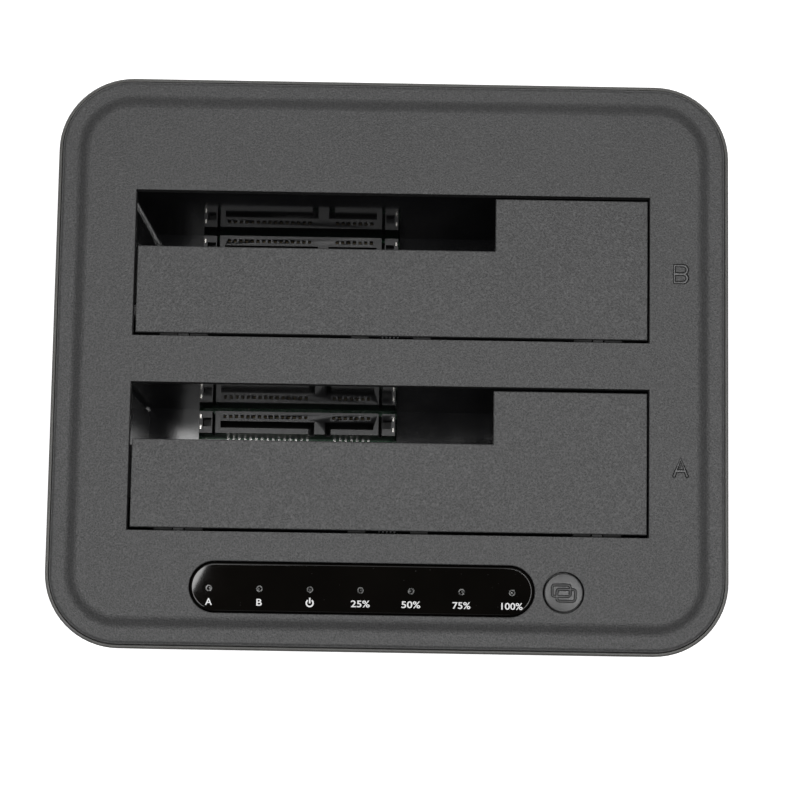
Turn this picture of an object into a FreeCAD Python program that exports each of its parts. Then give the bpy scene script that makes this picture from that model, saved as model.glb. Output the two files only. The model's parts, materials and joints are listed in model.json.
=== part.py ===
import FreeCAD, Part
import math
import os
import re
import Sketcher

# Two-bay hard drive docking station that also copies one drive onto the other.
# Millimetres, +Z up, origin on the table at the middle of the base. The front, with the
# status window and the clone button, faces -Y and the ports face +Y. Bay B is the rear one.

SIZES = {
    # Housing
    "foot_drop": 1.5,  # height of the feet below the shell
    "housing_top": 64.0,  # table to the plateau of the cover
    "shell_width": 136.4,  # outside, left to right
    "shell_depth": 115.85,  # outside, front to rear
    "shell_corner": 15.0,  # outside corner radius
    "shell_wall": 2.4,  # side walls of the shell
    "shell_floor": 2.2,  # bottom of the shell
    "shell_edge": 2.0,  # rounding of the shell's bottom edge
    "lip_wall": 0.7,  # thin upper lip round the cover
    "lip_edge": 0.3,  # bevel of the lip
    "lip_drop": 0.9,  # cover rim down to the top of the lip
    "seam_gap": 0.15,  # between the lip and the cover
    # Top cover
    "skirt_drop": 4.0,  # cover rim down to its seat in the shell
    "skirt_wall": 1.7,  # skirt of the cover
    "rim_edge": 0.8,  # rounding of the cover's outer edge
    "rim_width": 3.43,  # flat rim round the plateau
    "slope_width": 1.88,  # sloping side of the plateau
    "plateau_rise": 1.0,  # plateau above the rim
    "cover_plate": 2.5,  # plateau down to the cover's underside
    # Drive bays
    "side_band": 16.2,  # side of the shell to a bay
    "front_band": 23.475,  # front of the shell to bay A
    "rear_band": 23.475,  # rear of the shell to bay B
    "bay_bridge": 9.44,  # bay A to bay B
    "bay_floor_rise": 6.1,  # main board up to the floor of a bay
    "slot_width": 72.8,  # opening for a small drive, left to right
    "slot_depth": 11.46,  # opening for a small drive, front to rear
    "well_ease": 1.4,  # side walls of a well, outside the opening
    "well_recess": 0.6,  # front wall of a well, in front of the opening
    "well_wall": 1.5,  # walls of a well
    "well_floor": 1.5,  # floor of a well
    "well_corner": 1.0,  # inside corner radius of a well
    "tab_length": 8.0,  # screw tab, out from the well
    "tab_width": 9.0,  # screw tab, front to rear
    "tab_plate": 2.5,  # thickness of a screw tab
    "tab_corner": 3.0,  # corners of a screw tab
    "tab_drop": 11.5,  # cover's underside down to the underside of a screw tab
    "tab_screw_in": 3.6,  # screw from the free end of its tab
    "gusset_rise": 5.0,  # gusset that stiffens a screw tab
    "gusset_wall": 1.2,  # thickness of that gusset
    # Bay flaps
    "flap_plate": 2.0,  # thickness of a flap
    "flap_drop": 0.15,  # flap below the plateau
    "flap_gap_left": 0.6,  # flap to the opening
    "flap_gap_right": 0.4,  # flap to the opening
    "flap_gap_front": 0.6,  # flap to the opening
    "flap_gap_rear": 0.75,  # flap to the opening
    "flap_edge": 0.25,  # rounding of a flap's upper edges
    "pin_dia": 1.2,  # hinge pin
    "pin_short": 5.0,  # side of the opening to the end of the pin
    "pin_set_back": 0.9,  # opening's front edge to the pin
    "pin_drop": 2.4,  # top of the flap down to the pin
    "pin_run": 0.05,  # radial clearance of the pin in the ears
    "pin_hold": 0.02,  # radial clearance of the pin in the knuckles
    "ear_in": 10.2,  # side of the opening to a hinge ear
    "ear_width": 2.0,  # ear of the well that carries the pin
    "ear_radius": 1.3,  # ear round the pin
    "ear_roof": 0.2,  # ear to the flap above it
    "ear_side": 0.3,  # ear to the knuckles beside it
    "knuckle_radius": 1.15,  # knuckle round the pin
    "knuckle_width": 3.5,  # knuckle beside an ear
    "knuckle_relief": 0.35,  # knuckle to the cover's edge above
    "relief_end": 1.0,  # relief in the cover, past the end of the pin
    "middle_knuckle_in": 4.5,  # middle of the dock to a middle knuckle
    "lip_reach": 0.9,  # stop lip of a flap, past the opening's edge
    "lip_thick": 0.8,  # thickness of a stop lip
    "lip_stop": 0.15,  # stop lip to the cover's underside
    "lip_root": 1.2,  # rib that carries a stop lip
    "lip_start": 6.0,  # flap's front edge to the stop lips
    "rib_wall": 1.0,  # stiffening ribs of a flap
    "rib_drop": 1.2,  # stiffening ribs below the flap
    "rib_inset": 6.0,  # ribs from the edges of the flap
    # Flap springs
    "wire_dia": 0.35,  # spring wire
    "coil_radius": 0.9,  # middle of the wire to the pin's axis
    "coil_turns": 5.0,  # turns of the coil
    "coil_length": 4.0,  # length of the coil along the pin
    "leg_flap": 5.0,  # leg under the flap
    "leg_wall": 6.0,  # leg down the well
    "spring_room": 0.4,  # coil to the flap above it
    "leg_pad": 2.0,  # pad that a leg bears on
    "leg_touch": 0.02,  # leg to its pad
    # Status window
    "window_x": -4.94,  # middle of the window
    "window_in": 12.465,  # front of the shell to the middle of the window
    "window_length": 68.7,  # cut-out for the window
    "window_height": 10.28,  # cut-out for the window
    "window_gap": 0.12,  # window to its cut-out
    "window_proud": 0.2,  # window above the plateau
    "window_bevel": 0.5,  # bevel round the window
    "window_flange": 0.7,  # flange under the cover, past the cut-out
    "window_flange_rise": 1.0,  # thickness of that flange
    "lamp_left": 4.05,  # left end of the window to the first lamp
    "lamp_right": 4.53,  # right end of the window to the last lamp
    "lamp_count": 7.0,  # lamps
    "lamp_low": 0.29,  # middle of the window to the row of lamps, towards the front
    "lamp_bore": 3.0,  # light well over each lamp
    "lamp_length": 2.0,  # lamp body
    "lamp_width": 1.25,  # lamp body
    "lamp_rise": 0.8,  # lamp body
    "baffle_short": 2.7,  # light baffle shorter than the window's cut-out
    "baffle_width": 8.6,  # light baffle
    "baffle_corner": 1.5,  # corners of the light baffle
    # Front board
    "front_board_end": 3.4,  # screw to the end of the board
    "front_board_width": 11.6,  # front to rear
    "front_board_plate": 1.2,  # thickness
    "front_board_drop": 7.3,  # cover's underside down to its upper face
    "front_screw_out": 8.5,  # middle of the button to a screw
    "front_boss_dia": 5.0,  # boss under the cover
    "header_length": 13.0,  # cable header
    "header_width": 4.0,  # cable header
    "header_rise": 4.0,  # cable header
    "header_x": -10.0,  # cable headers
    "ribbon_width": 11.0,  # flat cable
    "ribbon_thick": 0.8,  # flat cable
    "ribbon_sway": 3.0,  # bow of the flat cable
    # Clone button
    "button_out": 5.69,  # right end of the window to the middle of the button
    "button_low": 0.11,  # middle of the window to the button's, towards the front
    "button_bore": 8.2,  # hole in the cover
    "button_dia": 7.7,  # cap
    "button_proud": 0.35,  # edge of the cap above the plateau
    "button_dome": 0.25,  # rise of the cap's dome
    "button_edge": 0.3,  # rounding of the cap
    "button_flange_dia": 9.2,  # flange under the cover
    "button_flange_rise": 1.0,  # thickness of that flange
    "button_play": 0.12,  # flange to the cover's underside
    "button_travel": 0.5,  # stroke
    "stem_dia": 4.0,  # stem of the button
    "switch_side": 6.0,  # switch body
    "switch_rise": 3.5,  # switch body
    "plunger_dia": 3.4,  # switch plunger
    "plunger_rise": 1.1,  # plunger above the switch body
    "plunger_sunk": 0.8,  # plunger inside the switch body
    "plunger_gap": 0.15,  # plunger to its bore, all round
    "plunger_floor": 0.2,  # under the plunger when it is pressed
    # Main board
    "board_side": 13.2,  # side of the shell to the board
    "board_front_in": 8.925,  # front of the shell to the board
    "board_rear_in": 5.925,  # rear of the shell to the board
    "board_bottom": 8.0,  # table to its underside
    "board_plate": 1.6,  # thickness
    "board_screw_side": 5.0,  # side of the board to a screw
    "board_screw_near": 15.0,  # front of the board to the front pair of screws
    "board_screw_far": 18.0,  # rear of the board to the rear pair of screws
    "board_hole_dia": 3.0,  # hole for a screw
    "board_boss_dia": 6.0,  # boss of the shell
    # Drive connectors
    "plug_x": -20.4,  # middle of the connector
    "plug_set": 3.4,  # rear wall of the bay to the connector's middle
    "plug_length": 43.1,  # over the end guides
    "plug_body": 35.8,  # between the end guides
    "plug_width": 4.8,  # front to rear
    "plug_base_rise": 5.8,  # main board up to the top of its base
    "plug_rise": 11.4,  # main board up to its mouth
    "guide_width": 2.9,  # end guide
    "guide_drop": 0.5,  # end guide below the mouth
    "guide_hole": 1.9,  # square recess of an end guide
    "guide_hole_in": 1.75,  # end of the connector to the middle of that recess
    "guide_hole_deep": 4.0,  # depth of that recess
    "blade_length": 33.6,  # slot for the drive's blade
    "blade_width": 1.5,  # slot for the drive's blade
    "blade_deep": 5.0,  # slot for the drive's blade
    "blade_set": -0.5,  # blade slot from the connector's middle
    "blade_notch": 1.3,  # key of the blade slot, left to right
    "blade_notch_deep": 1.2,  # key of the blade slot, front to rear
    "blade_inner": 1.9,  # innermost contact to the end of its slot
    "contact_pitch": 1.27,  # contact to contact
    "power_count": 15.0,  # contacts of the power segment
    "data_count": 7.0,  # contacts of the data segment
    "power_first": -15.85,  # first power contact from the middle
    "data_first": 8.05,  # first data contact from the middle
    "contact_hole": 0.75,  # contact chamber, square
    "contact_set": 1.25,  # contact chambers from the connector's middle
    "contact_deep": 4.4,  # contact chamber, depth
    "contact_width": 0.5,  # contact strip
    "contact_thick": 0.25,  # contact strip
    "contact_length": 3.6,  # contact strip, height
    "tail_length": 1.4,  # solder tail in front of the connector
    "tail_thick": 0.3,  # solder tail
    "clip_width": 0.3,  # hold-down clip
    "clip_depth": 0.8,  # hold-down clip
    "clip_spread": 1.2,  # hold-down clips from the connector's middle
    "clip_inset": 0.4,  # end of the connector to a clip's middle
    "clip_ease": 0.02,  # clip to its slot, all round
    "clip_proud": 0.3,  # hold-down clip above its guide
    "hole_ease_x": 0.4,  # floor cut-out to the connector, each end
    "hole_front": 6.8,  # floor cut-out, out from the rear wall
    # Rear ports
    "panel_side": 26.2,  # side of the shell to the sunk port panel
    "panel_low": 7.0,  # table to the sunk panel
    "panel_high": 32.5,  # table to the top of the sunk panel
    "panel_sunk": 3.0,  # panel behind the rear face
    "panel_corner": 2.5,  # corners of the panel
    "port_recess": 0.3,  # ports behind the panel
    "port_ease": 0.3,  # port to its cut-out
    "usb_in": 14.0,  # left end of the panel to the middle of the USB port
    "usb_width": 12.0,  # shell of the port
    "usb_height": 12.6,  # shell of the port
    "usb_depth": 18.0,  # shell of the port
    "usb_wall": 0.4,  # sheet of the port
    "usb_mouth_width": 8.5,  # lower part of the mouth
    "usb_mouth_height": 7.8,  # lower part of the mouth
    "usb_mouth_cut": 1.6,  # chamfered corners of the mouth
    "usb_upper_width": 6.6,  # upper part of the mouth
    "usb_upper_height": 3.2,  # upper part of the mouth
    "usb_mouth_base": 0.7,  # underside of the port to its mouth
    "usb_mouth_deep": 10.5,  # depth of the mouth
    "usb_tongue_width": 5.6,  # tongue
    "usb_tongue_height": 3.2,  # tongue
    "usb_tongue_set": 1.5,  # tongue behind the mouth
    "usb_strip_width": 4.4,  # upper tongue
    "usb_strip_height": 1.0,  # upper tongue
    "jack_x": 0.0,  # middle of the power jack
    "jack_width": 9.0,  # block of the jack
    "jack_height": 11.0,  # block of the jack
    "jack_depth": 14.0,  # block of the jack
    "jack_bore": 6.3,  # bore of the jack
    "jack_bore_deep": 10.0,  # bore of the jack
    "jack_bore_z": 6.4,  # underside of the jack to its bore
    "jack_pin": 2.1,  # centre pin
    "jack_pin_short": 1.0,  # centre pin behind the bore's mouth
    "rocker_in": 13.0,  # right end of the panel to the middle of the power switch
    "rocker_z": 22.5,  # table to the middle of the switch
    "bezel_width": 17.0,  # bezel of the switch
    "bezel_height": 12.0,  # bezel of the switch
    "bezel_rise": 1.5,  # bezel outside the panel
    "bezel_corner": 1.2,  # corners of the bezel
    "frame_width": 14.8,  # frame through the shell
    "frame_height": 9.8,  # frame through the shell
    "frame_depth": 15.0,  # frame behind the bezel
    "frame_ease": 0.15,  # frame to its cut-out
    "cavity_width": 13.0,  # cavity for the rocker
    "cavity_height": 8.2,  # cavity for the rocker
    "cavity_depth": 7.8,  # cavity behind the bezel's face
    "rocker_radius": 6.25,  # rocker's round ends
    "rocker_side": 0.25,  # rocker to the cavity, above and below
    "rocker_axis": 1.2,  # bezel's face to the pivot
    "rocker_tilt": 8.0,  # degrees, each way from the middle
    "rocker_proud": 0.9,  # middle of the rocker outside the bezel
    "rocker_back": 4.2,  # pivot to the back of the rocker
    "pivot_dia": 1.8,  # pivot stubs
    "pivot_reach": 0.6,  # pivot stub into the frame
    "pivot_run": 0.06,  # radial clearance of the pivot
    "snap_rise": 0.7,  # snap wedge out of the frame
    "snap_length": 4.0,  # snap wedge
    "snap_width": 4.0,  # snap wedge
    "snap_gap": 0.1,  # snap wedge to the shell's wall
    "lug_width": 4.8,  # solder lug of the switch
    "lug_thick": 0.8,  # solder lug of the switch
    "lug_length": 3.4,  # solder lug of the switch
    "lug_spread": 3.4,  # solder lugs from the middle
    # Fasteners
    "post_side": 8.0,  # side of the shell to a corner post
    "post_end": 11.125,  # front or rear of the shell to a corner post
    "post_dia": 7.2,  # corner post
    "post_meet": 26.0,  # table to where the posts meet
    "post_seat": 2.2,  # seat of the screw's head, below that
    "post_well_dia": 5.8,  # well for the screw's head
    "case_screw_dia": 2.9,  # shank
    "case_screw_head": 5.2,  # head
    "case_screw_rise": 2.0,  # head
    "case_screw_length": 12.0,  # shank
    "small_screw_dia": 2.2,  # shank of an inner screw
    "small_screw_head": 4.4,  # head of an inner screw
    "small_screw_rise": 1.6,  # head of an inner screw
    "small_screw_length": 6.0,  # shank of an inner screw
    "cross_width": 0.7,  # cross recess
    "cross_deep": 0.9,  # cross recess
    "cross_arm": 0.35,  # arm of a cross recess, as a share of the head's diameter
    "pilot_ease": 0.02,  # screw to its pilot hole, all round
    "pilot_spare": 1.0,  # pilot hole past the screw's tip
    "through_ease": 0.2,  # screw to its through hole, all round
    "tab_boss_dia": 6.0,  # boss over a screw tab
    # Underside
    "foot_dia": 12.0,  # rubber foot
    "foot_sunk": 0.8,  # foot inside its recess
    "foot_ease": 0.2,  # foot to its recess, all round
    "foot_edge": 0.5,  # bevel of a foot
    "foot_side": 22.2,  # side of the shell to a foot
    "foot_end": 13.925,  # front or rear of the shell to a foot
    "vent_length": 24.0,  # vent slot
    "vent_width": 2.0,  # vent slot
    "vent_pitch": 5.0,  # slot to slot
    "vent_count": 8.0,  # slots in a row
    "vent_x": 17.0,  # middle of the dock to a row of slots
    "vent_first_y": -17.5,  # first slot
    # Board parts
    "chip_side": 12.0,  # bridge controller
    "chip_rise": 1.0,  # bridge controller
    "chip_in": 25.0,  # right side of the board to the bridge controller
    "chip_y": 10.0,  # bridge controller
    "memory_length": 5.0,  # memory chip
    "memory_width": 6.0,  # memory chip
    "memory_in": 13.0,  # right side of the board to the memory chip
    "copy_chip_side": 10.0,  # copy controller
    "copy_chip_in": 27.0,  # right side of the board to the copy controller
    "copy_chip_y": -22.0,  # copy controller
    "can_dia": 8.0,  # storage capacitor
    "can_rise": 11.5,  # storage capacitor
    "can_in": 7.0,  # rear of the board to the storage capacitors
    "can_side": 5.0,  # side of the board to the second capacitor
    "can_edge": 0.6,  # bevel of a capacitor
    "choke_side": 7.0,  # choke
    "choke_rise": 3.6,  # choke
    "choke_in": 8.0,  # rear of the board to the choke
}

# Sizes and places that follow from the sizes above. An expression may use these words like sizes.
PLACES = {
    # Drive bays
    "bay_width": "(shell_width - 2 * side_band)",
    "bay_depth": "((shell_depth - front_band - rear_band - bay_bridge) / 2)",
    "bay_floor_z": "(board_bottom + board_plate + bay_floor_rise)",
    "tab_z": "(housing_top - cover_plate - tab_drop)",
    "pin_length": "(bay_width - 2 * pin_short)",
    "ear_place": "(bay_width / 2 - ear_in)",
    # Status window and clone button
    "window_y": "(window_in - shell_depth / 2)",
    "lamp_first_x": "(window_x - window_length / 2 + lamp_left)",
    "lamp_pitch": "((window_length - lamp_left - lamp_right) / (lamp_count - 1))",
    "lamp_y": "(window_y - lamp_low)",
    "baffle_length": "(window_length - baffle_short)",
    "button_x": "(window_x + window_length / 2 + button_out)",
    "button_y": "(window_y - button_low)",
    "front_screw_x": "(button_x + front_screw_out)",
    "front_board_length": "(2 * (front_screw_x + front_board_end))",
    "front_board_top": "(housing_top - cover_plate - front_board_drop)",
    # Main board and what stands on it
    "board_width": "(shell_width - 2 * board_side)",
    "board_front": "(board_front_in - shell_depth / 2)",
    "board_rear": "(shell_depth / 2 - board_rear_in)",
    "board_screw_x": "(board_width / 2 - board_screw_side)",
    "board_screw_front": "(board_front + board_screw_near)",
    "board_screw_rear": "(board_rear - board_screw_far)",
    "plug_base_top": "(board_bottom + board_plate + plug_base_rise)",
    "plug_top": "(board_bottom + board_plate + plug_rise)",
    "chip_x": "(board_width / 2 - chip_in)",
    "memory_x": "(board_width / 2 - memory_in)",
    "copy_chip_x": "(board_width / 2 - copy_chip_in)",
    "can_x": "((jack_x + jack_width / 2 + rocker_x - frame_width / 2) / 2)",
    "can_side_x": "(can_side - board_width / 2)",
    "can_y": "(board_rear - can_in)",
    "choke_x": "((jack_x - jack_width / 2 + usb_x + usb_width / 2) / 2)",
    "choke_y": "(board_rear - choke_in)",
    # Rear ports, posts and feet
    "panel_half": "(shell_width / 2 - panel_side)",
    "usb_x": "(usb_in - panel_half)",
    "rocker_x": "(panel_half - rocker_in)",
    "post_x": "(shell_width / 2 - post_side)",
    "post_y": "(shell_depth / 2 - post_end)",
    "foot_x": "(shell_width / 2 - foot_side)",
    "foot_y": "(shell_depth / 2 - foot_end)",
}

doc = FreeCAD.newDocument("drive_duplicator")
sheet = doc.addObject("Spreadsheet::Sheet", "dims")


def fill_sheet():
    """One row per size: its name and its value, which carries the name as its alias."""
    for row, (name, value) in enumerate(SIZES.items(), start=1):
        sheet.set("A%d" % row, name)
        sheet.set("B%d" % row, str(value))
        sheet.setAlias("B%d" % row, name)
    doc.recompute()


fill_sheet()

# Angles in degrees, from +X towards +Y of a sketch.
STRAIGHT_UP = 90
HALF_TURN = 180

# Places that several pieces share, each worked out from the sizes.
RIM_Z = "(housing_top - plateau_rise)"
SKIRT_Z = "(housing_top - plateau_rise - skirt_drop)"
LIP_Z = "(housing_top - plateau_rise - lip_drop)"
UNDER_Z = "(housing_top - cover_plate)"
FLAP_Z = "(housing_top - flap_drop)"
FLAP_UNDER_Z = "(housing_top - flap_drop - flap_plate)"
PIN_Z = "(housing_top - flap_drop - pin_drop)"
PIN_Y = "(pin_set_back - bay_depth)"
FLOOR_Z = "(foot_drop + shell_floor)"
BOARD_Z = "(board_bottom + board_plate)"
REAR_Y = "(shell_depth / 2)"
PANEL_Y = "(shell_depth / 2 - panel_sunk)"
PORT_Y = "(shell_depth / 2 - panel_sunk - port_recess)"
BEZEL_Y = "(shell_depth / 2 - panel_sunk + bezel_rise)"
PIVOT_Y = "(shell_depth / 2 - panel_sunk + bezel_rise - rocker_axis)"
WELL_X = "(bay_width / 2 + well_ease + well_wall)"
WELL_MID_Y = "(-bay_depth / 2)"
TAB_X = "(bay_width / 2 + well_ease + well_wall + tab_length - tab_screw_in)"
BAY_B_Y = "(shell_depth / 2 - rear_band)"
BAY_A_Y = "(shell_depth / 2 - rear_band - bay_depth - bay_bridge)"
SEAT_Z = "(post_meet - post_seat)"
FRONT_UNDER_Z = "(front_board_top - front_board_plate)"
SWITCH_Z = "(front_board_top + switch_rise)"
PLUNGER_Z = "(front_board_top + switch_rise + plunger_rise)"
BUTTON_FLANGE_Z = "(housing_top - cover_plate - button_play)"


def bound(text):
    """The expression with its places worked out and every size taken from the sheet."""

    def word(found):
        name = found[0]
        if name in PLACES:
            return bound(PLACES[name])
        return "dims." + name if name in SIZES else name

    return re.sub(r"\b[a-z][a-z0-9_]*\b", word, str(text))


def worth(text):
    """The value of an expression."""
    return float(sheet.evalExpression(bound(text)))


class Profile:
    """Closed outlines on one of a piece's own planes. Every place in them is an expression."""

    def __init__(self, piece, name, plane, level):
        self.sketch = piece.newObject("Sketcher::SketchObject", name)
        origin = [f for f in piece.Origin.OriginFeatures if f.Role == plane + "_Plane"][0]
        self.sketch.AttachmentSupport = [(origin, "")]
        self.sketch.MapMode = "FlatFace"
        self.sketch.setExpression("AttachmentOffset.Base.z", bound(level))

    def add(self, shape):
        return self.sketch.addGeometry(shape, False)

    def hold(self, kind, value, *ends):
        """A driving dimension. Its value follows the sheet."""
        start = 1.0 if kind in ("Radius", "Diameter") else worth(value)
        index = self.sketch.addConstraint(Sketcher.Constraint(kind, *ends, start))
        self.sketch.setExpression("Constraints[%d]" % index, bound(value))

    def place(self, geometry, point, across, up):
        self.hold("DistanceX", across, -1, 1, geometry, point)
        self.hold("DistanceY", up, -1, 1, geometry, point)

    def tie(self, kind, *ends):
        self.sketch.addConstraint(Sketcher.Constraint(kind, *ends))

    def loop(self, corners):
        """A polygon through the corners."""
        points = [FreeCAD.Vector(worth(across), worth(up), 0) for across, up in corners]
        lines = [self.add(Part.LineSegment(p, q)) for p, q in zip(points, points[1:] + points[:1])]
        for line, following in zip(lines, lines[1:] + lines[:1]):
            self.tie("Coincident", line, 2, following, 1)
        for line, (across, up) in zip(lines, corners):
            self.place(line, 1, across, up)

    def rect(self, left, right, low, high):
        self.loop(((left, low), (right, low), (right, high), (left, high)))

    def disc(self, across, up, dia):
        centre = FreeCAD.Vector(worth(across), worth(up), 0)
        ring = self.add(Part.Circle(centre, FreeCAD.Vector(0, 0, 1), worth(dia) / 2))
        self.place(ring, 3, across, up)
        self.hold("Diameter", dia, ring)

    def arc(self, across, up, radius, first, last):
        centre = FreeCAD.Vector(across, up, 0)
        circle = Part.Circle(centre, FreeCAD.Vector(0, 0, 1), radius)
        return self.add(Part.ArcOfCircle(circle, math.radians(first), math.radians(last)))

    def rounded(self, left, right, low, high, radius):
        """A rectangle with round corners."""
        x0, x1, y0, y1, r = [worth(v) for v in (left, right, low, high, radius)]
        spans = (
            ((x0 + r, y0), (x1 - r, y0)),
            ((x1, y0 + r), (x1, y1 - r)),
            ((x1 - r, y1), (x0 + r, y1)),
            ((x0, y1 - r), (x0, y0 + r)),
        )
        sides = [self.add(Part.LineSegment(FreeCAD.Vector(*p), FreeCAD.Vector(*q))) for p, q in spans]
        turns = [
            self.arc(x1 - r, y0 + r, r, 270, 360),
            self.arc(x1 - r, y1 - r, r, 0, 90),
            self.arc(x0 + r, y1 - r, r, 90, 180),
            self.arc(x0 + r, y0 + r, r, 180, 270),
        ]
        for i in range(4):
            self.tie("Tangent", sides[i], 2, turns[i], 1)
            self.tie("Tangent", turns[i], 2, sides[(i + 1) % 4], 1)
        self.tie("Horizontal", sides[0])
        self.tie("Vertical", sides[1])
        self.tie("Horizontal", sides[2])
        self.tie("Vertical", sides[3])
        for turn in turns[1:]:
            self.tie("Equal", turns[0], turn)
        self.hold("Radius", radius, turns[0])
        self.hold("DistanceY", low, -1, 1, sides[0], 1)
        self.hold("DistanceX", right, -1, 1, sides[1], 1)
        self.hold("DistanceY", high, -1, 1, sides[2], 1)
        self.hold("DistanceX", left, -1, 1, sides[3], 1)

    def stadium(self, left, right, middle, height):
        """A slot with round ends, lying along the sketch."""
        x0, x1, y, r = [worth(v) for v in (left, right, middle, "(%s) / 2" % height)]
        upper = self.add(Part.LineSegment(FreeCAD.Vector(x1 - r, y + r), FreeCAD.Vector(x0 + r, y + r)))
        west = self.arc(x0 + r, y, r, 90, 270)
        lower = self.add(Part.LineSegment(FreeCAD.Vector(x0 + r, y - r), FreeCAD.Vector(x1 - r, y - r)))
        east = self.arc(x1 - r, y, r, 270, 450)
        for one, other in ((upper, west), (west, lower), (lower, east), (east, upper)):
            self.tie("Tangent", one, 2, other, 1)
        self.tie("Horizontal", upper)
        self.tie("Horizontal", lower)
        self.hold("Radius", "(%s) / 2" % height, west)
        self.hold("DistanceX", "%s + (%s) / 2" % (left, height), -1, 1, west, 3)
        self.hold("DistanceX", "%s - (%s) / 2" % (right, height), -1, 1, east, 3)
        self.hold("DistanceY", middle, -1, 1, west, 3)


pieces = []


def new_piece(label, forward="0", many=False):
    """One separate piece, moved forward or back to its place."""
    piece = doc.addObject("PartDesign::Body", label)
    piece.Label = label
    piece.AllowCompound = many
    piece.setExpression("Placement.Base.y", bound(forward))
    pieces.append(piece)
    return piece


def sketch_on(piece, name, plane, low, high, cut):
    """A pad grows along its plane's normal and a pocket goes against it."""
    from_high = cut
    if plane == "XZ":
        from_high = not cut
    level = high if from_high else low
    if plane == "XZ":
        level = "-(%s)" % level
    return Profile(piece, name + "_outline", plane, level)


def prism(piece, name, plane, low, high, draw, cut=False):
    """Material, or a cut, between two levels. draw puts the outlines into the sketch."""
    profile = sketch_on(piece, name, plane, low, high, cut)
    draw(profile)
    kind = "PartDesign::Pocket" if cut else "PartDesign::Pad"
    feature = piece.newObject(kind, name)
    feature.Profile = profile.sketch
    feature.setExpression("Length", bound("(%s) - (%s)" % (high, low)))
    return feature


def block(piece, name, left, right, front, rear, low, high, cut=False):
    return prism(piece, name, "XY", low, high, lambda p: p.rect(left, right, front, rear), cut)


def slab(piece, name, width, depth, radius, low, high, cut=False):
    """A plate with round corners, about the middle of the dock."""
    w = "(%s) / 2" % width
    d = "(%s) / 2" % depth
    return prism(
        piece, name, "XY", low, high, lambda p: p.rounded("-" + w, w, "-" + d, d, radius), cut
    )


def discs(piece, name, places, dia, low, high, cut=False, plane="XY"):
    def draw(profile):
        for across, up in places:
            profile.disc(across, up, dia)

    return prism(piece, name, plane, low, high, draw, cut)


def dress(piece, kind, name, wanted, sizes):
    """A fillet or chamfer on the edges, or round the faces, that wanted picks."""
    doc.recompute()
    base = piece.Tip
    picks = ["Edge%d" % (i + 1) for i, edge in enumerate(base.Shape.Edges) if wanted(edge.BoundBox)]
    feature = piece.newObject("PartDesign::" + kind, name)
    feature.Base = (base, picks)
    for key, value in sizes.items():
        feature.setExpression(key, bound(value))
    return feature


def near(value, text):
    return abs(value - worth(text)) < 0.001


def level_at(text):
    """Picks the edges that lie at one height."""
    return lambda box: near(box.ZMin, text) and near(box.ZMax, text)


def row_of(piece, name, feature, plane_axis, step, count):
    """Repeats a feature along one of the piece's own axes."""
    pattern = piece.newObject("PartDesign::LinearPattern", name)
    pattern.Originals = [feature]
    axis = [f for f in piece.Origin.OriginFeatures if f.Role == plane_axis + "_Axis"][0]
    pattern.Direction = (axis, [""])
    pattern.Mode = "Spacing"
    pattern.setExpression("Offset", bound(step))
    pattern.setExpression("Occurrences", bound(count))
    piece.Tip = pattern
    return pattern


def spread(across, up):
    """Four places, one in each quarter."""
    return [(sx + across, sy + up) for sx in ("-", "") for sy in ("-", "")]


def ease(dia, clearance):
    return "(%s + 2 * %s)" % (dia, clearance)


POSTS = spread("post_x", "post_y")
BOARD_SCREWS = [(sx + "board_screw_x", y) for sx in ("-", "") for y in ("board_screw_front", "board_screw_rear")]
TAB_SCREWS = [(sx + TAB_X, bay + " + " + WELL_MID_Y) for sx in ("-", "") for bay in (BAY_A_Y, BAY_B_Y)]
FRONT_SCREWS = [(sx + "front_screw_x", "window_y") for sx in ("-", "")]
PILOT_CASE = ease("case_screw_dia", "pilot_ease")
PILOT_SMALL = ease("small_screw_dia", "pilot_ease")
THROUGH_CASE = ease("case_screw_dia", "through_ease")
THROUGH_SMALL = ease("small_screw_dia", "through_ease")


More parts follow.
